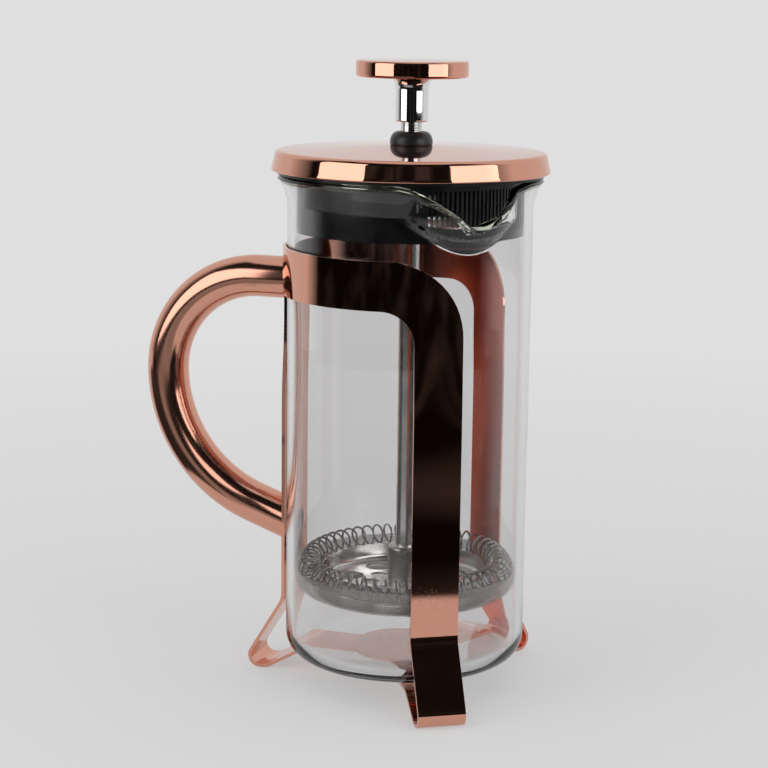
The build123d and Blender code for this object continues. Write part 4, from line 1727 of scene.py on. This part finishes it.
    def dark_cloth(self, cloth: Cloth) -> bpy.types.Material:
        """The material of a dark cloth, which thins out towards its sides and its near edge.

        Args:
            cloth: the cloth.

        Returns:
            The material.
        """
        material, desk = blank_material(cloth.name)
        place = desk.add("TexCoord").outputs["Object"]
        flat = desk.vector("MULTIPLY", place, LEVEL)
        away = desk.measure("LENGTH", flat)
        facing = desk.measure("DOT_PRODUCT", flat, self.direction(sum(cloth.sides) / 2))
        half = (cloth.sides[1] - cloth.sides[0]) / 2
        edge = math.cos(math.radians(half))
        full = math.cos(math.radians(half - cloth.feather))
        across = desk.spread(desk.math("DIVIDE", facing, away), edge, full, 0, cloth.share)
        aside = desk.measure("DOT_PRODUCT", flat, self.direction(90))
        near = desk.math("SUBTRACT", away, desk.math("MULTIPLY", aside, cloth.slant))
        along = desk.spread(near, cloth.start, cloth.start + self.cloth_edge)
        path = desk.add("LightPath").outputs
        mirrored = desk.math("MINIMUM", path["Glossy Depth"], 1.0)
        again = desk.math("GREATER_THAN", path["Glossy Depth"], self.mirrored_twice)
        within = desk.math("LESS_THAN", path["Transmission Depth"], self.through_the_wall)
        caught = desk.math("MULTIPLY", path["Is Transmission Ray"], desk.math("MAXIMUM", again, within))
        inside = desk.math("MULTIPLY", caught, cloth.thinning)
        mirrored = desk.math("SUBTRACT", mirrored, inside, clamp=True)
        clear = desk.add("BsdfTransparent")
        # Painted light and shade of folds: the flat sheet gets a noise of lighter folds and darker hollows.
        waves = desk.noise(place, self.painted_fold_scale, 1.0)
        painted_fold_shade = desk.spread(waves, *self.painted_fold_range, cloth.dark, cloth.light)
        weave = desk.add("BsdfDiffuse", {"Color": painted_fold_shade})
        share = desk.math("MULTIPLY", desk.math("MULTIPLY", across, along), mirrored)
        mixed = desk.add("MixShader", {0: share, 1: clear.outputs[0], 2: weave.outputs[0]})
        desk.add("OutputMaterial", {"Surface": mixed.outputs[0]})
        return material

    def swept(self, cloth: Cloth) -> bpy.types.Object:
        """Spin a cloth's line about the press.

        Args:
            cloth: the cloth.

        Returns:
            The cloth's object, still without its material.
        """
        mesh = bmesh.new()
        begin, end = cloth.sides
        away = self.direction(begin)
        places = [away * radius + Vector((0, 0, height)) for radius, height in cloth.profile]
        points = [mesh.verts.new(place) for place in places]
        edges = [mesh.edges.new(pair) for pair in zip(points, points[1:])]
        spin_about(mesh, points + edges, end - begin, self.cloth_steps)
        return put_in_scene(cloth.name, mesh_data(cloth.name, mesh))

    def hang(self, softbox: Softbox) -> None:
        """Hang a soft light, and let it reach one piece alone if it names one.

        Args:
            softbox: the light.
        """
        width, tall = softbox.size
        data = bpy.data.lights.new(softbox.name, "AREA")
        data.shape = "RECTANGLE"
        data.size, data.size_y = width, tall
        data.energy = softbox.level * math.pi * width * tall
        light = put_in_scene(softbox.name, data)
        middle = Vector((0, 0, softbox.height))
        place = self.direction(softbox.turn) * softbox.distance + middle
        facing = (middle - place).to_track_quat("-Z", "Y").to_matrix().to_4x4()
        light.matrix_world = Matrix.Translation(place) @ facing
        if softbox.only_on:
            reached = bpy.data.collections.new(softbox.name)
            reached.objects.link(bpy.data.objects[softbox.only_on])
            light.light_linking.receiver_collection = reached


def main() -> None:
    """Build the press in order: stand, beaker, lid, plunger, filter, and then the studio round it."""
    logging.basicConfig(level=logging.INFO, format="%(name)s: %(message)s")
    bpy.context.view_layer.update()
    shop = Workshop(Finishes())
    for assembly in (Stand(shop), Beaker(shop), Lid(shop), Plunger(shop), Filter(shop)):
        assembly.build()
    Studio().build()


if __name__ == "__main__":
    main()
